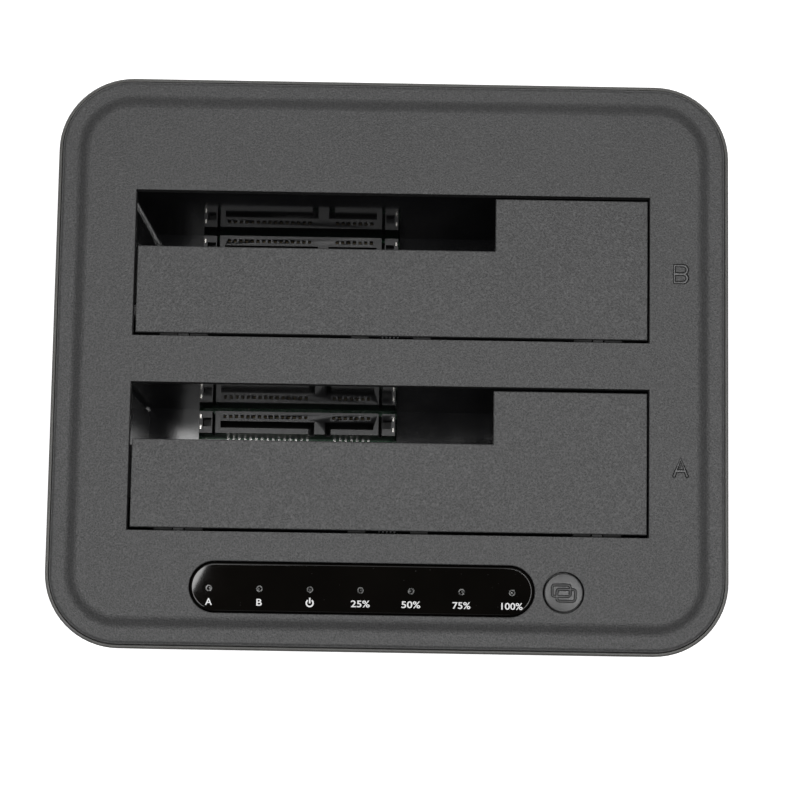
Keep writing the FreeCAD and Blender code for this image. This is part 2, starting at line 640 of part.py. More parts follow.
def make_body_shell():
    """The tub: walls with a thin upper lip, screw posts, board bosses, port cut-outs and vents."""
    piece = new_piece("body_shell")
    slab(piece, "tub", "shell_width", "shell_depth", "shell_corner", "foot_drop", LIP_Z)
    dress(piece, "Fillet", "bottom_edge", level_at("foot_drop"), {"Radius": "shell_edge"})
    dress(piece, "Chamfer", "lip_bevel", level_at(LIP_Z), {"Size": "lip_edge"})
    inside = ("(shell_width - 2 * shell_wall)", "(shell_depth - 2 * shell_wall)", "shell_corner - shell_wall")
    slab(piece, "hollow", *inside, FLOOR_Z, LIP_Z, cut=True)
    seat = ("(shell_width - 2 * lip_wall)", "(shell_depth - 2 * lip_wall)", "shell_corner - lip_wall")
    slab(piece, "cover_seat", *seat, SKIRT_Z, LIP_Z, cut=True)
    root = "(foot_drop + shell_floor / 2)"
    discs(piece, "posts", POSTS, "post_dia", root, "post_meet")
    discs(piece, "board_bosses", BOARD_SCREWS, "board_boss_dia", root, "board_bottom")
    discs(piece, "screw_wells", POSTS, "post_well_dia", "foot_drop", SEAT_Z, cut=True)
    discs(piece, "screw_holes", POSTS, THROUGH_CASE, SEAT_Z, "post_meet", cut=True)
    tip = "(%s - small_screw_length - pilot_spare)" % BOARD_Z
    discs(piece, "board_pilots", BOARD_SCREWS, PILOT_SMALL, tip, "board_bottom", cut=True)

    def ports(profile):
        profile.rect(
            "usb_x - usb_width / 2 - port_ease",
            "usb_x + usb_width / 2 + port_ease",
            BOARD_Z + " - port_ease",
            BOARD_Z + " + usb_height + port_ease",
        )
        profile.rect(
            "jack_x - jack_width / 2 - port_ease",
            "jack_x + jack_width / 2 + port_ease",
            BOARD_Z + " - port_ease",
            BOARD_Z + " + jack_height + port_ease",
        )
        profile.rect(
            "rocker_x - frame_width / 2 - frame_ease",
            "rocker_x + frame_width / 2 + frame_ease",
            "rocker_z - frame_height / 2 - frame_ease",
            "rocker_z + frame_height / 2 + frame_ease",
        )

    wall = PANEL_Y + " - shell_wall"
    block(piece, "panel_backing", "-panel_half - shell_wall", "panel_half + shell_wall", wall,
          REAR_Y + " - shell_wall", root, "panel_high + shell_wall")
    prism(piece, "panel", "XZ", PANEL_Y, REAR_Y,
          lambda p: p.rounded("-panel_half", "panel_half", "panel_low", "panel_high", "panel_corner"),
          cut=True)
    prism(piece, "port_holes", "XZ", wall, PANEL_Y, ports, cut=True)
    feet = spread("foot_x", "foot_y")
    sunk = "(foot_drop + foot_sunk)"
    discs(piece, "foot_recesses", feet, ease("foot_dia", "foot_ease"), "foot_drop", sunk, cut=True)

    def vents(profile):
        for side in ("-", ""):
            middle = "(%svent_x)" % side
            profile.stadium(
                middle + " - vent_length / 2", middle + " + vent_length / 2", "vent_first_y", "vent_width"
            )

    first = prism(piece, "vents", "XY", "foot_drop", FLOOR_Z, vents, cut=True)
    row_of(piece, "vent_rows", first, "Y", "vent_pitch", "vent_count")


def make_top_cover():
    """The cover: rim, raised plateau with sloping sides, skirt, bay openings, window and posts."""
    piece = new_piece("top_cover")
    inset = "2 * (lip_wall + seam_gap)"
    wide = "(shell_width - %s)" % inset
    deep = "(shell_depth - %s)" % inset
    turn = "(shell_corner - lip_wall - seam_gap)"
    slab(piece, "rim", wide, deep, turn, SKIRT_Z, RIM_Z)
    dress(piece, "Fillet", "rim_round", level_at(RIM_Z), {"Radius": "rim_edge"})
    sections = []
    for name, inward, level in (("foot", "rim_width", RIM_Z), ("crest", "(rim_width + slope_width)", "housing_top")):
        profile = Profile(piece, "plateau_" + name, "XY", level)
        w = "(%s / 2 - %s)" % (wide, inward)
        d = "(%s / 2 - %s)" % (deep, inward)
        profile.rounded("-" + w, w, "-" + d, d, "%s - %s" % (turn, inward))
        sections.append(profile.sketch)
    plateau = piece.newObject("PartDesign::AdditiveLoft", "plateau")
    plateau.Profile = sections[0]
    plateau.Sections = sections[1:]
    plateau.Ruled = True
    walls = "2 * skirt_wall"
    slab(piece, "underside", "(%s - %s)" % (wide, walls), "(%s - %s)" % (deep, walls),
         turn + " - skirt_wall", SKIRT_Z, UNDER_Z, cut=True)
    discs(piece, "posts", POSTS, "post_dia", "post_meet", UNDER_Z)
    tab_top = "(tab_z + tab_plate)"
    discs(piece, "tab_bosses", TAB_SCREWS, "tab_boss_dia", tab_top, UNDER_Z)
    discs(piece, "front_bosses", FRONT_SCREWS, "front_boss_dia", "front_board_top", UNDER_Z)
    tip = "(%s + case_screw_length + pilot_spare)" % SEAT_Z
    discs(piece, "post_pilots", POSTS, PILOT_CASE, "post_meet", tip, cut=True)
    tip = "(tab_z + small_screw_length + pilot_spare)"
    discs(piece, "tab_pilots", TAB_SCREWS, PILOT_SMALL, tab_top, tip, cut=True)
    tip = "(%s + small_screw_length + pilot_spare)" % FRONT_UNDER_Z
    discs(piece, "front_pilots", FRONT_SCREWS, PILOT_SMALL, "front_board_top", tip, cut=True)

    def bays(profile):
        for rear in (BAY_B_Y, BAY_A_Y):
            profile.rect("-bay_width / 2", "bay_width / 2", rear + " - bay_depth", rear)

    prism(piece, "bay_openings", "XY", UNDER_Z, "housing_top", bays, cut=True)

    def reliefs(profile):
        for rear in (BAY_B_Y, BAY_A_Y):
            edge = rear + " - bay_depth"
            front = "%s + pin_set_back - knuckle_radius - knuckle_relief" % edge
            profile.rect("-pin_length / 2 - relief_end", "pin_length / 2 + relief_end", front, edge)

    prism(piece, "hinge_reliefs", "XY", UNDER_Z, PIN_Z + " + ear_radius + ear_roof", reliefs, cut=True)

    def window(profile):
        half = "window_length / 2"
        profile.stadium("window_x - " + half, "window_x + " + half, "window_y", "window_height")
        profile.disc("button_x", "button_y", "button_bore")

    prism(piece, "window_hole", "XY", UNDER_Z, "housing_top", window, cut=True)


def make_bay_well(letter, bay):
    """A glossy well: four walls, a floor cut out round the connector, screw tabs and hinge ears."""
    piece = new_piece("bay_well_" + letter, bay)
    inside_x = "(bay_width / 2 + well_ease)"
    front = "(-bay_depth - well_recess)"
    base = "(bay_floor_z - well_floor)"
    block(piece, "walls", "-" + WELL_X, WELL_X, front + " - well_wall", "well_wall", base, UNDER_Z)
    prism(piece, "hollow", "XY", "bay_floor_z", UNDER_Z,
          lambda p: p.rounded("-" + inside_x, inside_x, front, "0", "well_corner"), cut=True)
    half = "(plug_length / 2 + hole_ease_x)"
    block(piece, "plug_hole", "plug_x - " + half, "plug_x + " + half, "-hole_front", "0", base,
          "bay_floor_z", cut=True)
    reach = "(%s + tab_length)" % WELL_X
    low = WELL_MID_Y + " - tab_width / 2"
    high = WELL_MID_Y + " + tab_width / 2"

    def tabs(profile):
        profile.rounded("-" + reach, reach, low, high, "tab_corner")

    prism(piece, "tabs", "XY", "tab_z", "tab_z + tab_plate", tabs)
    prism(piece, "hollow_again", "XY", "tab_z", "tab_z + tab_plate",
          lambda p: p.rect("-" + inside_x, inside_x, low, high), cut=True)
    holes = [(sx + TAB_X, WELL_MID_Y) for sx in ("-", "")]
    discs(piece, "tab_holes", holes, THROUGH_SMALL, "tab_z", "tab_z + tab_plate", cut=True)

    def gussets(profile):
        for side in ("-", ""):
            wall = side + WELL_X
            out = "%s(%s + tab_length - tab_screw_in - small_screw_head / 2)" % (side, WELL_X)
            profile.loop(((wall, "tab_z - gusset_rise"), (out, "tab_z"), (wall, "tab_z")))

    prism(piece, "front_gussets", "XZ", low, low + " + gusset_wall", gussets)
    prism(piece, "rear_gussets", "XZ", high + " - gusset_wall", high, gussets)

    def ear(profile):
        profile.rect(front, PIN_Y, PIN_Z + " - ear_radius", PIN_Z + " + ear_radius")

    for name, middle in (("left", "-ear_place"), ("right", "ear_place")):
        span = (middle + " - ear_width / 2", middle + " + ear_width / 2")
        prism(piece, name + "_ear", "YZ", *span, ear)
        discs(piece, name + "_ear_round", [(PIN_Y, PIN_Z)], "2 * ear_radius", *span, plane="YZ")
        discs(piece, name + "_ear_bore", [(PIN_Y, PIN_Z)], ease("pin_dia", "pin_run"), *span,
              cut=True, plane="YZ")
    leg = "(coil_length / 2)"
    pad_front = PIN_Y + " - coil_radius - wire_dia / 2 - leg_touch"
    foot = PIN_Z + " - leg_wall"
    block(piece, "spring_pad", leg + " - leg_pad / 2", leg + " + leg_pad / 2", front, pad_front,
          foot, foot + " + leg_pad")


def make_bay_flap(letter, bay):
    """An L-shaped flap that leaves the small slot open, with stop lips, ribs and knuckles."""
    piece = new_piece("bay_flap_" + letter, bay)
    left = "(flap_gap_left - bay_width / 2)"
    right = "(bay_width / 2 - flap_gap_right)"
    front = "(flap_gap_front - bay_depth)"
    step = "(slot_width - bay_width / 2)"

    def outline(profile):
        profile.loop((
            (left, front), (right, front), (right, "-flap_gap_rear"),
            (step, "-flap_gap_rear"), (step, "-slot_depth"), (left, "-slot_depth"),
        ))

    prism(piece, "plate", "XY", FLAP_UNDER_Z, FLAP_Z, outline)
    dress(piece, "Fillet", "edges", level_at(FLAP_Z), {"Radius": "flap_edge"})
    lip_top = UNDER_Z + " - lip_stop"
    lip_low = "(%s - lip_thick)" % lip_top
    start = front + " + lip_start"
    left_end = "(-slot_depth - rib_wall)"
    right_end = "(-flap_gap_rear - rib_wall)"

    def roots(profile):
        profile.rect(left, left + " + lip_root", start, left_end)
        profile.rect(right + " - lip_root", right, start, right_end)

    def lips(profile):
        profile.rect("-bay_width / 2 - lip_reach", left + " + lip_root", start, left_end)
        profile.rect(right + " - lip_root", "bay_width / 2 + lip_reach", start, right_end)

    prism(piece, "lip_roots", "XY", lip_low, FLAP_UNDER_Z, roots)
    prism(piece, "lips", "XY", lip_low, lip_top, lips)

    def ribs(profile):
        near_edge = front + " + rib_inset"
        far_edge = "-slot_depth - rib_inset / 2"
        profile.rect(left + " + rib_inset", right + " - rib_inset", near_edge, near_edge + " + rib_wall")
        profile.rect(left + " + rib_inset", right + " - rib_inset", far_edge + " - rib_wall", far_edge)
        profile.rect(step + " + rib_inset", right + " - rib_inset", "-rib_inset - rib_wall", "-rib_inset")

    prism(piece, "ribs", "XY", FLAP_UNDER_Z + " - rib_drop", FLAP_UNDER_Z, ribs)
    beside = "(ear_width / 2 + ear_side)"
    inner = "ear_place - %s - knuckle_width" % beside
    outer = "ear_place + %s" % beside
    starts = {
        "left_outer": "-(%s) - knuckle_width" % outer,
        "left_inner": "-(%s) - knuckle_width" % inner,
        "left_middle": "-middle_knuckle_in - knuckle_width",
        "right_middle": "middle_knuckle_in",
        "right_inner": inner,
        "right_outer": outer,
    }
    for name, begin in starts.items():
        discs(piece, name + "_knuckle", [(PIN_Y, PIN_Z)], "2 * knuckle_radius", begin,
              begin + " + knuckle_width", plane="YZ")
    room = PIN_Y + " + ear_radius + ear_roof"

    def ear_rooms(profile):
        for side in ("-", ""):
            middle = side + "ear_place"
            profile.rect(middle + " - " + beside, middle + " + " + beside, front, room)

    prism(piece, "ear_rooms", "XY", FLAP_UNDER_Z, PIN_Z + " + ear_radius + ear_roof", ear_rooms, cut=True)
    coil = "coil_radius + wire_dia / 2 + spring_room"
    block(piece, "spring_room", "-middle_knuckle_in", "middle_knuckle_in", front, PIN_Y + " + " + coil,
          FLAP_UNDER_Z, PIN_Z + " + " + coil, cut=True)
    discs(piece, "pin_bore", [(PIN_Y, PIN_Z)], ease("pin_dia", "pin_hold"), "-bay_width / 2",
          "bay_width / 2", cut=True, plane="YZ")
    leg = "(-coil_length / 2)"
    end = PIN_Y + " + leg_flap"
    block(piece, "spring_pad", leg + " - leg_pad / 2", leg + " + leg_pad / 2", end + " - leg_pad", end,
          PIN_Z + " - coil_radius + wire_dia / 2 + leg_touch", FLAP_UNDER_Z)


def make_flap_pin(letter, bay):
    piece = new_piece("flap_pin_" + letter, bay)
    discs(piece, "rod", [(PIN_Y, PIN_Z)], "pin_dia", "-pin_length / 2", "pin_length / 2", plane="YZ")


def make_flap_spring(letter, bay):
    """A torsion spring on the pin: coil, one leg under the flap and one down the well."""
    y0 = worth(PIN_Y)
    z0 = worth(PIN_Z)
    radius = worth("coil_radius")
    half = worth("coil_length / 2")
    turns = worth("coil_turns")
    # The coil starts under the pin, where the flap's leg leaves, and ends in front of it.
    steps_per_turn = 12
    sweep = 2 * math.pi * (turns + 0.25)
    steps = int(round((turns + 0.25) * steps_per_turn))
    path = [(FreeCAD.Vector(-half, y0 + worth("leg_flap"), z0 - radius), FreeCAD.Vector(0, 0, -1))]
    for i in range(steps + 1):
        angle = -math.pi / 2 - sweep * i / steps
        out = FreeCAD.Vector(0, math.cos(angle), math.sin(angle))
        spot = FreeCAD.Vector(-half + 2 * half * i / steps, y0, z0) + out * radius
        path.append((spot, out))
    out = path[-1][1]
    path.append((path[-1][0] + FreeCAD.Vector(0, 0, -worth("leg_wall")), out))
    along_pin = FreeCAD.Vector(1, 0, 0)
    sides = 6
    rings = []
    for spot, out in path:
        ring = []
        for k in range(sides):
            turn = 2 * math.pi * k / sides
            ring.append(spot + (out * math.cos(turn) + along_pin * math.sin(turn)) * worth("wire_dia / 2"))
        rings.append(ring)
    faces = [Part.Face(Part.makePolygon(ring + ring[:1])) for ring in (rings[0], rings[-1])]
    for ring, following in zip(rings, rings[1:]):
        for k in range(sides):
            a, b = ring[k], ring[(k + 1) % sides]
            c, d = following[(k + 1) % sides], following[k]
            faces.append(Part.Face(Part.makePolygon([a, b, c, a])))
            faces.append(Part.Face(Part.makePolygon([a, c, d, a])))
    wire = Part.Solid(Part.Shell(faces))
    if wire.Volume < 0:
        wire.reverse()
    piece = doc.addObject("Part::Feature", "flap_spring_" + letter)
    piece.Label = "flap_spring_" + letter
    piece.Shape = wire
    piece.setExpression("Placement.Base.y", bound(bay))
    pieces.append(piece)


def make_status_window():
    """The glossy window: bevelled face in the cut-out and a flange under the cover."""
    piece = new_piece("status_window")
    half = "(window_length / 2 - window_gap)"
    tall = "(window_height - 2 * window_gap)"
    low = "(%s - window_flange_rise)" % UNDER_Z
    top = "(housing_top + window_proud)"
    prism(piece, "face", "XY", low, top,
          lambda p: p.stadium("window_x - " + half, "window_x + " + half, "window_y", tall))
    dress(piece, "Chamfer", "bevel", level_at(top), {"Size": "window_bevel"})
    out = "(window_length / 2 + window_flange)"
    high = "(window_height + 2 * window_flange)"
    prism(piece, "flange", "XY", low, UNDER_Z,
          lambda p: p.stadium("window_x - " + out, "window_x + " + out, "window_y", high))


LAMP_MIDDLE = "(lamp_first_x + (lamp_count - 1) * lamp_pitch / 2)"


def make_light_baffle():
    """A block with one light well for each lamp, between the front board and the window."""
    piece = new_piece("light_baffle")
    half = "baffle_length / 2"
    deep = "baffle_width / 2"
    top = "(%s - window_flange_rise)" % UNDER_Z
    prism(piece, "bar", "XY", "front_board_top", top,
          lambda p: p.rounded(LAMP_MIDDLE + " - " + half, LAMP_MIDDLE + " + " + half,
                              "lamp_y - " + deep, "lamp_y + " + deep, "baffle_corner"))
    first = discs(piece, "well", [("lamp_first_x", "lamp_y")], "lamp_bore", "front_board_top", top, cut=True)
    row_of(piece, "wells", first, "X", "lamp_pitch", "lamp_count")


def make_front_board():
    piece = new_piece("front_board")
    half = "front_board_length / 2"
    deep = "front_board_width / 2"
    block(piece, "plate", "-" + half, half, "window_y - " + deep, "window_y + " + deep,
          FRONT_UNDER_Z, "front_board_top")
    discs(piece, "holes", FRONT_SCREWS, THROUGH_SMALL, FRONT_UNDER_Z, "front_board_top", cut=True)


def make_status_lamps():
    piece = new_piece("status_lamps", many=True)
    half = "lamp_length / 2"
    deep = "lamp_width / 2"
    first = block(piece, "lamp", "lamp_first_x - " + half, "lamp_first_x + " + half, "lamp_y - " + deep,
                  "lamp_y + " + deep, "front_board_top", "front_board_top + lamp_rise")
    row_of(piece, "lamps", first, "X", "lamp_pitch", "lamp_count")


def make_clone_button():
    """A turned cap with a shallow dome, a flange under the cover and a stem onto the switch."""
    piece = new_piece("clone_button")
    edge = "(housing_top + button_proud)"
    profile = Profile(piece, "half_section", "XZ", "-button_y")
    corners = (
        ("0", PLUNGER_Z),
        ("stem_dia / 2", PLUNGER_Z),
        ("stem_dia / 2", BUTTON_FLANGE_Z + " - button_flange_rise"),
        ("button_flange_dia / 2", BUTTON_FLANGE_Z + " - button_flange_rise"),
        ("button_flange_dia / 2", BUTTON_FLANGE_Z),
        ("button_dia / 2", BUTTON_FLANGE_Z),
        ("button_dia / 2", edge),
        ("0", edge),
    )
    profile.sketch.setExpression("AttachmentOffset.Base.x", bound("button_x"))
    profile.loop(corners)
    turned = piece.newObject("PartDesign::Revolution", "turned")
    turned.Profile = profile.sketch
    turned.ReferenceAxis = (profile.sketch, ["V_Axis"])
    turned.Angle = 360
    dress(piece, "Fillet", "cap_edge", level_at(edge), {"Radius": "button_edge"})
    dome = Profile(piece, "dome_section", "XZ", "-button_y")
    dome.sketch.setExpression("AttachmentOffset.Base.x", bound("button_x"))
    flat = "(button_dia / 2 - button_edge)"
    ball = "((%s ^ 2 + button_dome ^ 2) / (2 * button_dome))" % flat
    fall = "(%s + button_dome - %s)" % (edge, ball)
    reach = math.degrees(math.asin(worth(flat) / worth(ball)))
    up = dome.add(Part.LineSegment(FreeCAD.Vector(0, worth(edge + " + button_dome")),
                                   FreeCAD.Vector(0, worth(edge))))
    out = dome.add(Part.LineSegment(FreeCAD.Vector(0, worth(edge)), FreeCAD.Vector(worth(flat), worth(edge))))
    bow = dome.arc(0, worth(fall), worth(ball), STRAIGHT_UP - reach, STRAIGHT_UP)
    dome.tie("Coincident", up, 2, out, 1)
    dome.tie("Coincident", out, 2, bow, 1)
    dome.tie("Coincident", bow, 2, up, 1)
    dome.place(out, 1, "0", edge)
    dome.place(out, 2, flat, edge)
    dome.place(up, 1, "0", edge + " + button_dome")
    dome.hold("DistanceX", "0", -1, 1, bow, 3)
    cap = piece.newObject("PartDesign::Revolution", "dome")
    cap.Profile = dome.sketch
    cap.ReferenceAxis = (dome.sketch, ["V_Axis"])
    cap.Angle = 360


BUTTON = [("button_x", "button_y")]


def make_clone_switch():
    """The switch under the button: its body, and the plunger that the button carries down."""
    piece = new_piece("clone_switch")
    half = "switch_side / 2"
    block(piece, "case", "button_x - " + half, "button_x + " + half, "button_y - " + half,
          "button_y + " + half, "front_board_top", SWITCH_Z)
    floor = SWITCH_Z + " - plunger_sunk - button_travel - plunger_floor"
    discs(piece, "bore", BUTTON, ease("plunger_dia", "plunger_gap"), floor, SWITCH_Z, cut=True)
    piece = new_piece("clone_plunger")
    discs(piece, "pin", BUTTON, "plunger_dia", SWITCH_Z + " - plunger_sunk", PLUNGER_Z)


def make_main_board():
    piece = new_piece("main_board")
    block(piece, "plate", "-board_width / 2", "board_width / 2", "board_front", "board_rear",
          "board_bottom", BOARD_Z)
    discs(piece, "holes", BOARD_SCREWS, "board_hole_dia", "board_bottom", BOARD_Z, cut=True)


GUIDE_TOP = "(plug_top - guide_drop)"
PLUG_Y = "(-plug_set)"
POWER_X = "(plug_x + power_first)"
DATA_X = "(plug_x + data_first)"


def make_sata_socket(letter, bay):
    """The drive connector: base, body with two keyed slots and chambers, and two end guides."""
    piece = new_piece("sata_socket_" + letter, bay)
    front = PLUG_Y + " - plug_width / 2"
    rear = PLUG_Y + " + plug_width / 2"
    end = "plug_length / 2"
    side = "plug_body / 2"
    block(piece, "base", "plug_x - " + end, "plug_x + " + end, front, rear, BOARD_Z, "plug_base_top")
    block(piece, "mouth", "plug_x - " + side, "plug_x + " + side, front, rear, "plug_base_top", "plug_top")

    def guides(profile):
        profile.rect("plug_x - " + end, "plug_x - " + end + " + guide_width", front, rear)
        profile.rect("plug_x + " + end + " - guide_width", "plug_x + " + end, front, rear)

    prism(piece, "guides", "XY", "plug_base_top", GUIDE_TOP, guides)

    def recesses(profile):
        for sign in ("-", "+"):
            middle = "plug_x %s (%s - guide_hole_in)" % (sign, end)
            profile.rect(middle + " - guide_hole / 2", middle + " + guide_hole / 2",
                         PLUG_Y + " - guide_hole / 2", PLUG_Y + " + guide_hole / 2")

    prism(piece, "guide_recesses", "XY", GUIDE_TOP + " - guide_hole_deep", GUIDE_TOP, recesses, cut=True)

    def clips(profile):
        for left, right, low, high in clip_places("clip_ease"):
            profile.rect(left, right, low, high)

    prism(piece, "clip_slots", "XY", BOARD_Z, GUIDE_TOP, clips, cut=True)
    blade = PLUG_Y + " + blade_set"

    def slots(profile):
        power_end = POWER_X + " + (power_count - 1) * contact_pitch + blade_inner"
        data_end = DATA_X + " - blade_inner"
        low = blade + " - blade_width / 2"
        high = blade + " + blade_width / 2"
        notch = low + " - blade_notch_deep"
        profile.loop((
            ("plug_x - blade_length / 2", low), (power_end + " - blade_notch", low),
            (power_end + " - blade_notch", notch), (power_end, notch),
            (power_end, high), ("plug_x - blade_length / 2", high),
        ))
        profile.loop((
            (data_end, notch), (data_end + " + blade_notch", notch),
            (data_end + " + blade_notch", low), ("plug_x + blade_length / 2", low),
            ("plug_x + blade_length / 2", high), (data_end, high),
        ))

    prism(piece, "blade_slots", "XY", "plug_top - blade_deep", "plug_top", slots, cut=True)
    for name, first, count in (("power", POWER_X, "power_count"), ("data", DATA_X, "data_count")):
        half = "contact_hole / 2"
        middle = PLUG_Y + " + contact_set"
        chamber = block(piece, name + "_chamber", first + " - " + half, first + " + " + half,
                        middle + " - " + half, middle + " + " + half, "plug_top - contact_deep",
                        "plug_top", cut=True)
        row_of(piece, name + "_chambers", chamber, "X", "contact_pitch", count)


def clip_places(spare):
    """Both hold-down clips of both end guides, grown by a clearance."""
    places = []
    for sign in ("-", "+"):
        middle = "plug_x %s (plug_length / 2 - clip_inset)" % sign
        for row in ("-", "+"):
            deep = PLUG_Y + " %s clip_spread" % row
            places.append((
                "%s - clip_width / 2 - %s" % (middle, spare), "%s + clip_width / 2 + %s" % (middle, spare),
                "%s - clip_depth / 2 - %s" % (deep, spare), "%s + clip_depth / 2 + %s" % (deep, spare),
            ))
    return places


def make_sata_metal(letter, bay):
    """The connector's contact strips and solder tails, and its hold-down clips."""
    piece = new_piece("sata_contacts_" + letter, bay, many=True)
    half = "contact_width / 2"
    middle = PLUG_Y + " + contact_set"
    low = "plug_top - contact_deep"
    front = PLUG_Y + " - plug_width / 2"
    for name, first, count in (("power", POWER_X, "power_count"), ("data", DATA_X, "data_count")):
        strip = block(piece, name + "_strip", first + " - " + half, first + " + " + half,
                      middle + " - contact_thick / 2", middle + " + contact_thick / 2", low,
                      low + " + contact_length")
        row_of(piece, name + "_strips", strip, "X", "contact_pitch", count)
        tail = block(piece, name + "_tail", first + " - " + half, first + " + " + half,
                     front + " - tail_length", front, BOARD_Z, BOARD_Z + " + tail_thick")
        row_of(piece, name + "_tails", tail, "X", "contact_pitch", count)
    piece = new_piece("sata_clips_" + letter, bay, many=True)

    def clips(profile):
        for left, right, front, rear in clip_places("0"):
            profile.rect(left, right, front, rear)

    prism(piece, "clips", "XY", BOARD_Z, GUIDE_TOP + " + clip_proud", clips)


def make_flat_cable():
    """The two headers and the flat cable that joins the boards, bowed a little to the front."""
    piece = new_piece("cable_headers", many=True)
    half = "header_length / 2"
    deep = "header_width / 2"
    spot = ("header_x - " + half, "header_x + " + half, "window_y - " + deep, "window_y + " + deep)
    block(piece, "lower", *spot, BOARD_Z, BOARD_Z + " + header_rise")
    block(piece, "upper", *spot, FRONT_UNDER_Z + " - header_rise", FRONT_UNDER_Z)
    bottom = worth(BOARD_Z + " + header_rise")
    top = worth(FRONT_UNDER_Z + " - header_rise")
    sway = worth("ribbon_sway")
    y0 = worth("window_y")
    quarter = (top - bottom) / 4
    # Two quarters of arc lean the cable out and the next two bring it back.
    radius = (quarter ** 2 + (sway / 2) ** 2) / sway
    turn = math.asin(quarter / radius)

    def arc(centre, start, middle, end):
        spots = [FreeCAD.Vector(0, centre[0] + radius * math.cos(a), centre[1] + radius * math.sin(a))
                 for a in (start, middle, end)]
        return Part.Arc(*spots).toShape()

    lean = arc((y0 - radius, bottom), 0, turn / 2, turn)
    back = arc((y0 - sway + radius, (bottom + top) / 2), math.pi + turn, math.pi, math.pi - turn)
    home = arc((y0 - radius, top), -turn, -turn / 2, 0)
    path = Part.Wire([lean, back, home])
    width = worth("ribbon_width") / 2
    thick = worth("ribbon_thick") / 2
    x0 = worth("header_x")
    ring = [FreeCAD.Vector(x0 + a, y0 + b, bottom)
            for a, b in ((-width, -thick), (width, -thick), (width, thick), (-width, thick))]
    outline = Part.makePolygon(ring + ring[:1])
    piece = doc.addObject("Part::Feature", "flat_cable")
    piece.Label = "flat_cable"
    piece.Shape = path.makePipeShell([outline], True, False)
    pieces.append(piece)


def make_usb_port():
    """A type B port: sheet shell, and an insert with the stepped mouth and its two tongues."""
    left = "usb_x - usb_width / 2"
    right = "usb_x + usb_width / 2"
    back = "(%s - usb_depth)" % PORT_Y
    high = BOARD_Z + " + usb_height"
    piece = new_piece("usb_shell")
    block(piece, "sheet", left, right, back, PORT_Y, BOARD_Z, high)
    prism(piece, "inside", "XZ", back + " + usb_wall", PORT_Y,
          lambda p: p.rect(left + " + usb_wall", right + " - usb_wall", BOARD_Z + " + usb_wall",
                           high + " - usb_wall"), cut=True)
    piece = new_piece("usb_insert")
    block(piece, "core", left + " + usb_wall", right + " - usb_wall", back + " + usb_wall", PORT_Y,
          BOARD_Z + " + usb_wall", high + " - usb_wall")
    low = "(%s + usb_mouth_base)" % BOARD_Z
    step = "(%s + usb_mouth_height)" % low
    wide = "usb_mouth_width / 2"
    slim = "usb_upper_width / 2"

    def mouth(profile):
        profile.loop((
            ("usb_x - " + wide, low), ("usb_x + " + wide, low),
            ("usb_x + " + wide, step + " - usb_mouth_cut"), ("usb_x + " + slim, step),
            ("usb_x + " + slim, step + " + usb_upper_height"),
            ("usb_x - " + slim, step + " + usb_upper_height"),
            ("usb_x - " + slim, step), ("usb_x - " + wide, step + " - usb_mouth_cut"),
        ))

    deep = PORT_Y + " - usb_mouth_deep"
    prism(piece, "mouth", "XZ", deep, PORT_Y, mouth, cut=True)
    middle = low + " + usb_mouth_height / 2"
    upper = step + " + usb_upper_height / 2"

    def tongues(profile):
        for width, height, level in (
            ("usb_tongue_width", "usb_tongue_height", middle),
            ("usb_strip_width", "usb_strip_height", upper),
        ):
            profile.rect("usb_x - %s / 2" % width, "usb_x + %s / 2" % width,
                         "%s - %s / 2" % (level, height), "%s + %s / 2" % (level, height))

    prism(piece, "tongues", "XZ", deep, PORT_Y + " - usb_tongue_set", tongues)


def make_power_jack():
    """The power inlet: a block with a round bore, and its centre pin."""
    piece = new_piece("power_jack")
    block(piece, "block", "jack_x - jack_width / 2", "jack_x + jack_width / 2", PORT_Y + " - jack_depth",
          PORT_Y, BOARD_Z, BOARD_Z + " + jack_height")
    spot = [("jack_x", BOARD_Z + " + jack_bore_z")]
    deep = PORT_Y + " - jack_bore_deep"
    discs(piece, "bore", spot, "jack_bore", deep, PORT_Y, cut=True, plane="XZ")
    piece = new_piece("jack_pin")
    discs(piece, "pin", spot, "jack_pin", deep, PORT_Y + " - jack_pin_short", plane="XZ")


